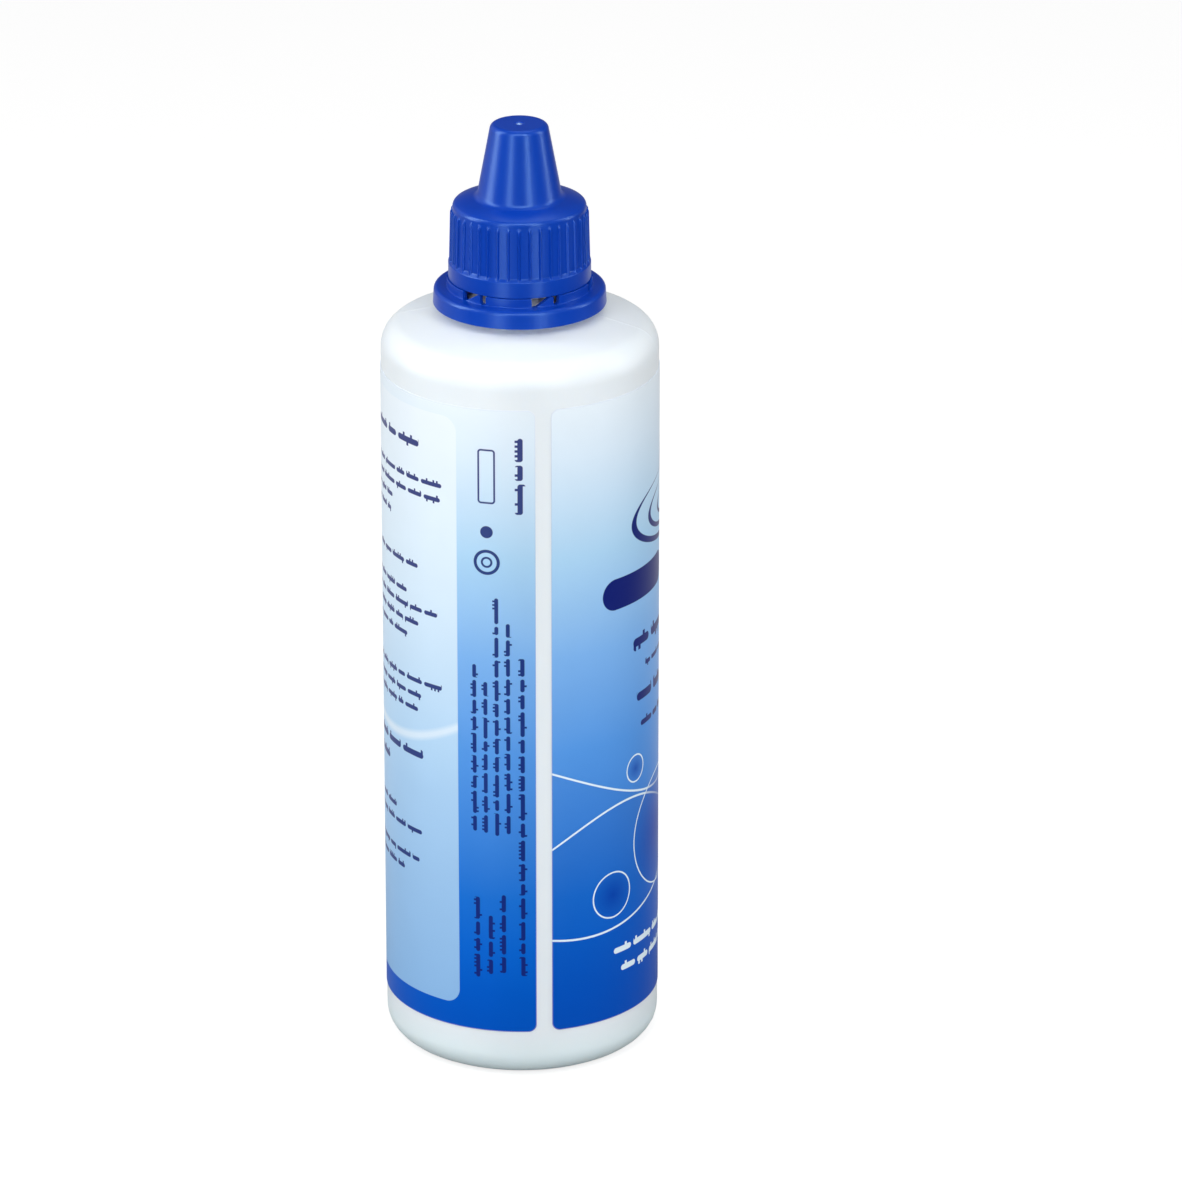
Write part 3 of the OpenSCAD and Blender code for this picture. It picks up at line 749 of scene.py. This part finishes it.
# %% Section of the ring
RING_IN, RING_TOP_R, RING_FOOT_R = 15.10, 16.0, 16.2
RING_ROOF, RING_SHELF = FLANGE_TOP + 0.35, FLANGE_TOP + 1.25
LIP_OUT, LIP_IN, LIP_Z = 13.60, 12.60, CAP_Z - 0.06
BEAD_R, BEAD_TOP = 14.10, RING_Z + 0.9
ring_outline = rounded([
    (RING_IN + 0.3, RING_Z, 0.1), (RING_FOOT_R, RING_Z, 0.15), (RING_TOP_R, RING_SHELF, 0.8),
    (LIP_OUT, RING_SHELF, 0.2), (LIP_OUT, LIP_Z, 0.08), (LIP_IN, LIP_Z, 0.08), (LIP_IN, RING_ROOF, 0.2),
    (RING_IN, RING_ROOF, 0.5), (RING_IN, BEAD_TOP, 0.1), (BEAD_R, BEAD_TOP, 0.15),
    (BEAD_R, BEAD_TOP - 0.45, 0.15)])
SECTORS = 6
RAMP_DEG, BRIDGE_DEG, NOTCH_DEG = 15.0, 3.0, 5.0
NOTCH_FROM = RAMP_DEG + BRIDGE_DEG
NOTCH_TO = NOTCH_FROM + NOTCH_DEG
FLAT_DEG = degrees(0.9 / LIP_OUT)
WINDOW_LOW, EDGE = RING_SHELF + 0.05, 0.12


def soft_edge(away):
    """Height of a rounded edge next to a cut, at a distance in mm from the cut."""
    return LIP_Z - EDGE + sqrt(max(0.0, EDGE ** 2 - max(0.0, EDGE - away) ** 2))


def collar_top(turn):
    """Height of the collar's top edge at an angle within the sector, in degrees."""
    mm = radians(1) * LIP_OUT
    if turn <= 0:
        return soft_edge(-turn * mm)
    if turn < RAMP_DEG:
        return WINDOW_LOW + (LIP_Z - WINDOW_LOW) * max(0.0, turn - FLAT_DEG) / (RAMP_DEG - FLAT_DEG)
    if NOTCH_FROM < turn < NOTCH_TO:
        half = NOTCH_DEG / 2 * mm
        aside = (turn - (NOTCH_FROM + NOTCH_TO) / 2) * mm
        return WINDOW_LOW + half - sqrt(max(0.0, half ** 2 - aside ** 2))
    return min(soft_edge(abs(turn - NOTCH_FROM) * mm), soft_edge(abs(turn - NOTCH_TO) * mm))


# %% One sixth of the ring
beside_cut = [0.5, 0.3, 0.18, 0.08, 0.0]
in_notch = [0.03, 0.1, 0.25, 0.5, 0.9, 1.5]
columns = [-30, -26, -22, -18, -14, -10, -6, -3, -1.2] + [-x for x in beside_cut]
columns += [0.03, 0.3, 2, FLAT_DEG - 0.2, FLAT_DEG, FLAT_DEG + 0.3, 5.5, 7.5, 9.5, 11.5, 13.5, 14.7]
columns += [RAMP_DEG, 15.3, 16.5] + [NOTCH_FROM - x for x in beside_cut]
columns += [NOTCH_FROM + x for x in in_notch] + [20.5] + [NOTCH_TO - x for x in reversed(in_notch)]
columns += [NOTCH_TO + x for x in reversed(beside_cut)] + [24.2, 26, 28, 30]
points, faces = [], []
for turn in columns:
    top = collar_top(turn)
    c, s = cos(radians(turn)), sin(radians(turn))
    for r, z in ring_outline:
        points.append((r * c, r * s, min(z, top) if LIP_IN - 0.01 < r < LIP_OUT + 0.25 else z))
rows = len(ring_outline)
for column in range(len(columns) - 1):
    here, there = column * rows, (column + 1) * rows
    faces += [(here + i, there + i, there + (i + 1) % rows, here + (i + 1) % rows) for i in range(rows)]
band = new_piece("tamper_band", points, faces)
print("columns in a sector:", len(columns))

# %% [markdown]
# The bridge is a little wedge. It stands on the collar between ramp and notch and narrows
# upwards to the cap's rim, where it is meant to snap. Its edges are beveled a little, and it is
# joined to the sector before the copies are made.

# %% The bridge
FOOT_HALF, TOP_HALF = radians(BRIDGE_DEG / 2) * LIP_OUT, radians(0.9) * LIP_OUT
BRIDGE_IN, BRIDGE_OUT = LIP_IN + 0.15, COLLAR_R - 0.15
BRIDGE_H, BRIDGE_BEVEL = 0.5, 0.05
BRIDGE_AT = radians(RAMP_DEG + BRIDGE_DEG / 2)
bridge = bmesh.new()
tips = []
for z, half in ((CAP_Z - BRIDGE_H, FOOT_HALF), (CAP_Z, TOP_HALF)):
    for r, side in ((BRIDGE_IN, -1), (BRIDGE_OUT, -1), (BRIDGE_OUT, 1), (BRIDGE_IN, 1)):
        tips.append(bridge.verts.new(Vector((r, side * half, z)) * MM))
for corners_of_face in ((3, 2, 1, 0), (4, 5, 6, 7), (0, 1, 5, 4), (1, 2, 6, 5), (2, 3, 7, 6), (3, 0, 4, 7)):
    bridge.faces.new([tips[i] for i in corners_of_face])
bmesh.ops.bevel(bridge, geom=bridge.edges, offset=BRIDGE_BEVEL * MM, segments=2, affect="EDGES", profile=0.5)
for v in bridge.verts:
    x, y = v.co.x, v.co.y
    v.co.x = x * cos(BRIDGE_AT) - y * sin(BRIDGE_AT)
    v.co.y = x * sin(BRIDGE_AT) + y * cos(BRIDGE_AT)
bmesh.ops.recalc_face_normals(bridge, faces=bridge.faces)
bridge_mesh = bpy.data.meshes.new("bridge")
bridge.to_mesh(bridge_mesh)
bridge.free()
join_into(band, new_object("bridge", bridge_mesh))

# %% The tree that sets sectors round the axis
around, size, out = new_tree("sectors_round_axis", ("Sectors", "Weld distance"))
seats = put(around, "GeometryNodePoints", {"Count": size["Sectors"]})
step = put(around, "GeometryNodeInputIndex") * (tau / size["Sectors"])
spun = put(around, "ShaderNodeCombineXYZ", {2: step})
copies = put(around, "GeometryNodeInstanceOnPoints", {
    "Points": seats, "Instance": size["Mesh"], "Rotation": spun})
end_tree(copies, out, cap_plastic, size["Weld distance"])
run_tree(band, around, {"Sectors": SECTORS}, {"Weld distance": 0.002})
print(f"plastic in the ring: {volume_ml(band):.2f} ml")

# %% [markdown]
# ## The labels
# Each label is a printed plastic film that wraps almost half way round. A flat sheet with a
# Simple Deform bend would do, but here the rounded corners come first: near a side edge, each
# column of the sheet is as much shorter as the corner's circle says. Every point also stores
# where it lies on the print, in millimetres along and up the label. The inks read that.

# %% Build a label
LABEL_IN, LABEL_OUT = BODY_R + 0.02, -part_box("front_label")[0].y / MM
BARE_STRIP, CORNER_R = -2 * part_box("front_label")[1].y / MM, 1.5
LABEL_SPAN = pi - BARE_STRIP / BODY_R
LABEL_W = LABEL_SPAN * BODY_R
CORNER_COLUMNS, WIDE, TALL = 10, 96, 24


def build_label(name, middle_deg):
    """A film of real thickness with rounded corners, centred at an angle round the bottle."""
    side_steps = [CORNER_R * (1 - cos(radians(90 * i / CORNER_COLUMNS))) for i in range(CORNER_COLUMNS + 1)]
    inner = [CORNER_R + (LABEL_W - 2 * CORNER_R) * i / WIDE for i in range(1, WIDE)]
    alongs = side_steps + inner + [LABEL_W - x for x in reversed(side_steps)]
    ups = [i / TALL for i in range(TALL + 1)]
    first = radians(middle_deg) - LABEL_SPAN / 2
    points, marks = [], []
    for r in (LABEL_IN, LABEL_OUT):
        for along in alongs:
            off = max(0.0, CORNER_R - min(along, LABEL_W - along))
            cut = CORNER_R - sqrt(CORNER_R ** 2 - off ** 2)
            turn = first + along / BODY_R
            for up in ups:
                height = cut + (LABEL_H - 2 * cut) * up
                points.append((r * cos(turn), r * sin(turn), LABEL_Z + height))
                marks += (along, height, 0.0)
    tall = len(ups)
    back = len(alongs) * tall
    faces = []
    for a in range(0, back - tall, tall):
        b = a + tall
        for j in range(tall - 1):
            faces.append((back + a + j, back + b + j, back + b + j + 1, back + a + j + 1))
            faces.append((a + j + 1, b + j + 1, b + j, a + j))
        faces.append((a, b, back + b, back + a))
        faces.append((back + b - 1, back + b + tall - 1, b + tall - 1, b - 1))
    last = back - tall
    faces += [(j, back + j, back + j + 1, j + 1) for j in range(tall - 1)]
    faces += [(last + j + 1, back + last + j + 1, back + last + j, last + j) for j in range(tall - 1)]
    made = new_piece(name, points, faces)
    made.data.attributes.new("print_at", "FLOAT_VECTOR", "POINT").data.foreach_set("vector", marks)
    print(f"{name}: {LABEL_W:.1f} x {LABEL_H:.1f} mm, film volume {volume_ml(made):.3f} ml")
    return made


front_film = build_label("front_film", 270)
rear_film = build_label("rear_film", 90)

# %% [markdown]
# ## What is printed on the labels
# The inks are worked out from each point's place on the print, in millimetres. Flat shapes are
# easiest as distances: how far a point lies outside a disc, a plate or a wave, and less than
# nothing inside it. A patch of ink is then all that lies below zero, and a line is all that lies
# close to zero. An image texture would be quicker, but it would turn to blocks when seen closely.

# %% Shapes for the printer
def disc(at, middle, radius):
    """Distance outside a disc."""
    return hypot(at[0] - middle[0], at[1] - middle[1]) - radius


def plate(at, middle, half, corner):
    """Distance outside a plate with rounded corners."""
    over = [abs(at[i] - middle[i]) - (half[i] - corner) for i in (0, 1)]
    beyond = hypot(most(over[0], 0.0), most(over[1], 0.0))
    return beyond + least(most(over[0], over[1]), 0.0) - corner


def wave(at, middle, height, length, start, climb=0.0):
    """Distance above a wavy line that may also climb, straight up."""
    turn = calc("MULTIPLY_ADD", at[0], tau / length, start)
    crest = calc("MULTIPLY_ADD", calc("SINE", turn), height, middle)
    return at[1] - calc("MULTIPLY_ADD", at[0], climb, crest)


def inked(distance, blur=0.04):
    """1 where the distance is below zero and 0 where it is above, with a blurred edge."""
    return ramp(distance, blur, -blur)


def stroke(distance, width, blur=0.04):
    """A line of ink along the edge of a shape."""
    return inked(abs(distance) - width / 2, blur)


def blend_of(value, stops):
    """A soft run of colours. Each stop is a value and the red, green and blue that it has there."""
    low, high = stops[0][0], stops[-1][0]
    made = put(value.tree, "ShaderNodeValToRGB", {0: ramp(value, low, high)})
    band = made.socket.node.color_ramp
    for i, (at, *colour) in enumerate(stops):
        share = (at - low) / (high - low)
        stop = band.elements[i] if i < 2 else band.elements.new(share)
        stop.position = share
        stop.color = paint(*colour)
    return made


print("printer's shapes ready")

# %% [markdown]
# A label is full of small print. This one carries no words at all: designers fill such places
# with plain bars, one for each word, which is called greeking, and so does the group below. It
# cuts every row at places that white noise has shifted, so that the bars come out of different
# lengths, keeps a gap at each cut, and rounds the ends. Here and there a short stem stands up
# from a bar or hangs from it, as from a word. All inputs of the group are in millimetres.

# %% A group that prints rows of bars
ROW_SIZES = ("Along", "Down", "Height", "Row pitch", "Rows", "Length", "Seed", "Blank rows")
WORD_LENGTH, WORD_GAP, LETTER = 5.2, 0.7, 0.95
STEM_HALF, STEMS_UP, STEMS_DOWN = 0.26, 0.62, 0.12
ROW_LUCK_COLUMN = -9.0
bars, size, out = new_tree("rows_of_bars", ROW_SIZES, "ShaderNodeTree")
row = calc("FLOOR", size["Down"] / size["Row pitch"])
word = size["Height"] * WORD_LENGTH
steps = size["Along"] / word
cell = calc("FLOOR", steps)


def luck(column):
    """A random number from 0 to 1 that belongs to one place in one row."""
    place = put(bars, "ShaderNodeCombineXYZ", {0: column, 1: row, 2: size["Seed"]})
    return put(bars, "ShaderNodeTexWhiteNoise", {"Vector": place}, noise_dimensions="3D")


cuts = []
for shift in (-1.0, 0.0, 1.0):
    column = cell + shift
    cuts.append(column + calc("MULTIPLY_ADD", luck(column), 0.5, 0.25))
nearest = abs(steps - cuts[0])
for cut in cuts[1:]:
    nearest = least(nearest, abs(steps - cut))
half = size["Height"] * 0.5
row_middle = (row + 0.5) * size["Row pitch"]
letters = size["Along"] / (size["Height"] * LETTER)
letter = calc("FLOOR", letters)
off_stem = abs(letters - letter - 0.5)
chance = luck(letter + 0.5)
stem = (off_stem < STEM_HALF) * half
rise = (chance > STEMS_UP) * stem
drop = (chance < STEMS_DOWN) * stem
over_end = half * (1.0 + WORD_GAP) - nearest * word
under = size["Down"] - row_middle
aside = most(most(under - drop, under * -1.0 - rise), 0.0)
bar = hypot(most(over_end, 0.0), aside) - half
number = cell - (steps < cuts[1])
row_luck = luck(ROW_LUCK_COLUMN)
end = size["Length"] * calc("MULTIPLY_ADD", row_luck, 0.45, 0.55)
ink = inked(bar, 0.05)
for keep in (number > -0.5, size["Down"] > 0.0, number * word < end, row < size["Rows"],
             row_luck > size["Blank rows"]):
    ink = ink * keep
plug(out, ink)


def small_print(along, down, height, pitch, rows, length, seed, blank=0.0):
    """Rows of bars that start where both `along` and `down` are 0."""
    sizes = dict(zip(ROW_SIZES, (along, down, height, pitch, rows, length, seed, blank)))
    return put(along.tree, "ShaderNodeGroup", sizes, node_tree=bars)


def paragraph(at, left, top, *sizes):
    """Small print that reads from left to right."""
    return small_print(at[0] - left, top - at[1], *sizes)


# %% [markdown]
# Both labels start alike. The film carries a run of blues, from almost white at the top to deep
# blue at the bottom. It is a satin film over ink, a little wavy because it lies on blown
# plastic, and its cut edge is painted pale, a painted highlight, strongest towards the bottom.
# A soft mottle keeps the ink from looking painted on.

# %% The printed film
NAVY, CREST, SOFT_INK = paint(20, 32, 112), paint(226, 242, 252), 0.94
EDGE_GLINT, EDGE_W = paint(190, 176, 224), 0.12
SKY = [(0, 0, 82, 190), (7.9, 0, 88, 197), (17, 8, 99, 206), (27, 26, 110, 209), (37, 54, 126, 215),
       (57, 86, 151, 227), (76, 125, 178, 236), (96, 172, 212, 242), (116, 219, 236, 250),
       (LABEL_H, 232, 243, 251)]


def start_label(name):
    """Film material with its run of blues. It gives back the place on the print and the colour so far."""
    made, tree, shader = start_material(
        name, 0.3, IOR=1.5, Specular_IOR_Level=0.1, Specular_Tint=(0.4, 0.75, 1.0, 1.0))
    at = apart(put(tree, "ShaderNodeAttribute", give="Vector", attribute_name="print_at"))
    return made, shader, at, blend_of(at[1], SKY)


def finish_label(shader, at, colour):
    """Adds the mottle of the ink, a painted highlight along the film's cut edge, and its waves."""
    place = own_place(at[0].tree)
    mottle = ramp(noise(place, 120), low=0.98, high=1.02)
    colour = put(place.tree, "ShaderNodeHueSaturation", {"Color": colour, "Value": mottle})
    edge = plate(at, (LABEL_W / 2, LABEL_H / 2), (LABEL_W / 2 - EDGE_W, LABEL_H / 2 - EDGE_W), CORNER_R)
    # Painted highlight: the cut edge is painted pale, more towards the bottom.
    glint_share = ramp(at[1] / LABEL_H, low=0.4, high=0.1)
    colour = mixed(inked(edge * -1.0, 0.06) * glint_share, colour, EDGE_GLINT)
    ripple = noise(place, 45)
    dress(shader, colour, ramp(noise(place, 300), low=0.285, high=0.33), ripple, 0.00006)


# %% [markdown]
# The front label's design is our own: a ball that floats among the rings it makes in water, a
# blank name plate in two parts, rows of small print, and rolling waves with bubbles below. Every
# shape is a distance that `inked` or `stroke` turns into ink, so its edge stays sharp close by.

# %% Front label: waves and bubbles
front_print, shader, at, colour = start_label("front_label_film")
for middle, height, length, start, climb, shade in (
        (50, 5.5, 88, 2.6, -0.05, 0.12), (36, 6.5, 70, 0.2, 0.09, 0.14), (23, 5.0, 96, 4.2, 0.02, 0.2)):
    above = wave(at, middle, height, length, start, climb)
    colour = mixed(inked(above) * shade, colour, paint(4, 66, 170))
    colour = mixed(stroke(above, 0.42), colour, CREST)
for middle, radius, shade in (((30.5, 34), 11.5, 0.5), ((13, 25.5), 4.6, 0.42), ((52, 42), 7.5, 0.45),
                              ((19.5, 49.5), 2.7, 0.35), ((66, 27), 5.5, 0.42), ((45, 21), 2.6, 0.4)):
    rim = disc(at, middle, radius)
    depth = ramp(rim, 0.05, -radius, high=shade * 1.7)
    colour = mixed((depth + shade * 0.5) * inked(rim), colour, paint(0, 62, 168))
    colour = mixed(stroke(rim, 0.3), colour, CREST)

# %% Front label: the ball on its rings, the name plate and the small print
BALL_AT, BALL_R = (LABEL_W / 2, 107.0), 6.0
RINGS_DOWN, RINGS_FLAT = 8.0, 0.34
BALL_BLUES = [(-BALL_R, 8, 66, 176), (BALL_R, 60, 140, 222)]
side, up = at[0] - BALL_AT[0], at[1] - BALL_AT[1]
for reach, width in ((9.0, 0.8), (14.5, 1.1), (20.5, 1.4)):
    flat = (up + RINGS_DOWN) / RINGS_FLAT
    ring = (hypot(side, flat) - reach) * (RINGS_FLAT * 1.3)
    swell = calc("MULTIPLY_ADD", flat / reach, -0.45 * width, 0.5 * width)
    colour = mixed(inked(abs(ring) - swell * 0.5), colour, NAVY)
ball = disc(at, BALL_AT, BALL_R)
colour = mixed(inked(ball), colour, blend_of(up, BALL_BLUES))
colour = mixed(stroke(ball, 0.7), colour, NAVY)
for middle, half in ((22.0, 11.5), (55.0, 17.5)):
    colour = mixed(inked(plate(at, (middle, 86.5), (half, 3.1), 3.1)), colour, NAVY)
for *block, shade in ((13.5, 78.0, 1.7, 6.0, 1, 56, 3, NAVY), (19.5, 71.2, 0.9, 2.9, 1, 42, 5, NAVY),
                      (15.5, 66.7, 1.7, 6.0, 1, 46, 8, NAVY), (17.0, 59.6, 1.1, 3.2, 1, 50, 6, NAVY),
                      (10.5, 15.6, 1.15, 4.0, 2, 54, 11, CREST)):
    colour = mixed(paragraph(at, *block), colour, shade)
finish_label(shader, at, colour)
print("nodes in the front label:", len(front_print.node_tree.nodes))

# %% [markdown]
# The rear label has a lighter panel with blocks of small print, and a darker strip beside it
# whose print reads upwards. For that strip the two directions of the group simply change places.
# A plain outline, a dot and a ring fill the places where such a strip carries its marks.

# %% Rear label
PANEL = [(0, 136, 182, 229), (27, 153, 194, 234), (47, 168, 205, 239), (57, 180, 214, 243),
         (86, 213, 233, 249), (96, 221, 238, 251), (LABEL_H, 236, 245, 252)]
PANEL_RIGHT = 63.7
MARKS_AT = 69.6
rear_print, shader, at, colour = start_label("rear_label_film")
panel = plate(at, (PANEL_RIGHT / 2 + 2, 64.0), (PANEL_RIGHT / 2 - 2, 59.3), 3.0)
colour = mixed(inked(panel), colour, blend_of(at[1], PANEL))
sweep = wave(at, 50, 6.0, 90, 1.0, 0.25)
on_panel = inked(panel)
colour = mixed(stroke(sweep, 1.6, 0.5) * (on_panel * 0.5), colour, paint(244, 250, 255))
ink = 0.0
for block in ((118, 1.2, 3.6, 1, 44, 21, 0), (113.5, 0.85, 2.9, 18, 49, 22, 0.3),
              (55.5, 1.2, 3.9, 2, 48, 26, 0), (45, 0.85, 2.9, 7, 49, 25, 0.3)):
    ink = calc("ADD", ink, paragraph(at, 9, *block))
colour = mixed(ink * SOFT_INK, colour, NAVY)
strip = 0.0
for start, left, *block in ((39, 66.0, 0.75, 2.15, 4, 44, 31), (9, 74.9, 0.8, 2.6, 1, 78, 33),
                            (9, 66.3, 0.8, 2.5, 3, 21, 34), (103, 74.6, 1.0, 2.6, 1, 15, 38)):
    strip = calc("ADD", strip, small_print(at[1] - start, at[0] - left, *block))
for mark in (stroke(plate(at, (MARKS_AT, 112.5), (1.5, 5.2), 0.5), 0.35),
             inked(disc(at, (MARKS_AT, 101.5), 1.2)),
             stroke(disc(at, (MARKS_AT, 95.5), 2.2), 0.6), stroke(disc(at, (MARKS_AT, 95.5), 0.9), 0.4)):
    strip = strip + mark
colour = mixed(strip * SOFT_INK, colour, NAVY)
finish_label(shader, at, colour)
print("nodes in the rear label:", len(rear_print.node_tree.nodes))

# %% [markdown]
# ## Put it together
# Every piece now takes over from its CAD node. It rides on the body that the node belongs to,
# so the cap lifts off and the ring turns.

# %% Every piece takes its node's place
for piece, finish in ((nozzle, nozzle_plastic), (front_film, front_print), (rear_film, rear_print)):
    piece.data.materials.append(finish)
PIECES = [
    (bottle_shell, "root", "bottle", "bottle_plastic"), (nozzle, "root", "nozzle_insert", "nozzle_plastic"),
    (cap, "cap", "screw_cap", "cap_plastic"), (band, "ring", "tamper_ring", "cap_plastic"),
    (front_film, "root", "front_label", "front_label_film"),
    (rear_film, "root", "rear_label", "rear_label_film")]
for piece, body, node, slot in PIECES:
    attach(piece, body)
    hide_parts(node)
    print(f"{piece.name}: {len(piece.data.polygons)} faces on {body}, stands for {node}")

# %% [markdown]
# ## The studio
# The bottle stands on a white table. The table is grey by itself, so that it throws little light
# up at the bottle, and shines only for the camera, which makes it as white as the backdrop. In
# reflections it shines half as much, and only from a little way behind the bottle.

# %% The table
TO_CAMERA = radians(170.7)
TABLE_FRONT, TABLE_BACK, TABLE_SIDE = 0.09, 1.2, 0.32
TABLE_GREY, TABLE_SHINE, MIRRORED_SHARE = 0.36, 0.75, 0.5
BEHIND_FROM, BEHIND_TO = -0.03, -0.12
OPEN_WHITE = (1.0, 1.0, 1.0, 1.0)
table = bpy.data.meshes.new("table_top")
table.from_pydata([(TABLE_FRONT, -TABLE_SIDE, 0), (TABLE_FRONT, TABLE_SIDE, 0), (-TABLE_BACK, TABLE_SIDE, 0),
                   (-TABLE_BACK, -TABLE_SIDE, 0)], [], [(0, 1, 2, 3)])
floor = new_object("table_top", table)
floor.rotation_euler.z = TO_CAMERA
floor_finish, tree, shader = start_material("table_white", 0.9, Specular_IOR_Level=0.0)
shader.inputs["Base Color"].default_value = (TABLE_GREY, TABLE_GREY, TABLE_GREY, 1.0)
seen = results(tree.nodes.new("ShaderNodeLightPath"))
along_table = apart(own_place(tree))[0]
behind = ramp(along_table, BEHIND_FROM, BEHIND_TO)
mirrored = most(seen["Is Glossy Ray"], seen["Is Transmission Ray"]) * MIRRORED_SHARE * behind
plug(shader.inputs["Emission Strength"], most(seen["Is Camera Ray"], mirrored) * TABLE_SHINE)
shader.inputs["Emission Color"].default_value = OPEN_WHITE
table.materials.append(floor_finish)
floor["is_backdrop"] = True

# %% [markdown]
# The world shows three different things. The camera sees pure white. Reflections see a dim room
# with a low grey backdrop behind the bottle and a brighter card to the left of it, which draws a
# soft shine along that side. All other light comes from an even room that is darker below.

# %% The world
AMBIENT, FROM_BELOW, DIM = 0.36, 0.06, 0.05
WALL_TOP, WALL_FULL = 0.35, 0.15
WALL_SIDE, WALL_MIDDLE, WALL_GREY = 0.55, 0.85, 0.22
CARD_AT, CARD_RISE = radians(52), 0.25
CARD_EDGE, CARD_MIDDLE, CARD_GREY = 0.75, 0.95, 0.45
HORIZON = 0.1
world = bpy.data.worlds.new("studio")
bpy.context.scene.world = world
world.use_nodes = True
tree = world.node_tree
seen = results(tree.nodes.new("ShaderNodeLightPath"))


def looking():
    """The direction that a ray looks in."""
    return put(tree, "ShaderNodeTexCoord", give="Generated")


def facing(direction):
    """How far a ray looks in a direction: 1 straight that way, 0 square to it."""
    return put(tree, "ShaderNodeVectorMath", {0: looking(), 1: direction}, "Value", operation="DOT_PRODUCT")


to_wall = facing((-cos(TO_CAMERA), -sin(TO_CAMERA), 0.0))
height = apart(looking())[2]
to_wall = to_wall * ramp(height, WALL_TOP, WALL_FULL)
backdrop = ramp(to_wall, WALL_SIDE, WALL_MIDDLE, DIM, WALL_GREY, soft=True)
to_card = facing((cos(CARD_AT), sin(CARD_AT), CARD_RISE))
card = ramp(to_card, CARD_EDGE, CARD_MIDDLE, high=CARD_GREY, soft=True)
room = ramp(height, -HORIZON, HORIZON, FROM_BELOW, AMBIENT)
through = most(seen["Is Glossy Ray"], seen["Is Transmission Ray"])
sides = put(tree, "ShaderNodeMix", {0: through, 2: room, 3: most(backdrop, card)}, data_type="FLOAT")
background = tree.nodes["Background"].inputs
plug(background["Strength"], most(sides, seen["Is Camera Ray"]))
background["Color"].default_value = OPEN_WHITE

# %% [markdown]
# Eight soft panels light the bottle: two tall ones at its sides, two tall ones in front, one
# above in front, one high up behind, and two low ones in front that fill what faces down.
# Sun and spot lamps would draw hard shadows and small hot spots on satin plastic. The powers are
# balanced so that a lit surface shows about as bright as its own colour.

# %% Lamps
SOFTBOXES = (
    # name, angle round the bottle, distance, low edge, high edge, width, watts, height it aims at
    ("left_side", 82, 0.6, 0.05, 0.75, 0.24, 2.5, 0.15),
    ("left_front", 143, 0.9, -0.05, 0.85, 0.13, 2.3, 0.12),
    ("right_front", 199, 0.9, -0.05, 0.85, 0.13, 2.5, 0.12),
    ("right_side", 262, 0.7, 0.05, 0.75, 0.13, 1.5, 0.13),
    ("front_above", 176, 0.45, 0.48, 0.76, 0.5, 1.5, 0.12),
    ("back_above", 330, 0.35, 0.85, 1.45, 0.8, 1.4, 0.09),
    ("left_low", 143, 0.9, -0.65, -0.07, 0.3, 1.0, 0.08),
    ("right_low", 200, 0.9, -0.65, -0.07, 0.14, 0.7, 0.08))
for name, polar, distance, low, high, width, watts, aim_z in SOFTBOXES:
    data = bpy.data.lights.new(name, "AREA")
    data.shape = "RECTANGLE"
    data.size, data.size_y = width, high - low
    data.energy = watts
    lamp = new_object(name, data)
    turn = radians(polar)
    lamp.location = (distance * cos(turn), distance * sin(turn), (low + high) / 2)
    look = Vector((0, 0, aim_z)) - lamp.location
    lamp.rotation_euler = look.to_track_quat("-Z", "Y").to_euler()

# %% [markdown]
# The camera looks down on the bottle by about 22 degrees, from 1.5 metres away, with a long
# lens. From there the pale gap between the two labels is near the middle, and the bottle's
# sides look parallel.

# %% Camera
camera_data = bpy.data.cameras.new("camera")
camera_data.lens = 239.2
camera_data.sensor_width = 36.0
camera = new_object("camera", camera_data)
camera.location = (-1.3609, 0.2229, 0.6397)
camera.rotation_euler = (radians(68.25), 0.0, radians(-99.853))
bpy.context.scene.camera = camera
bpy.context.scene.view_settings.view_transform = "Standard"

# %% Sizes, and the end
low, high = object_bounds()
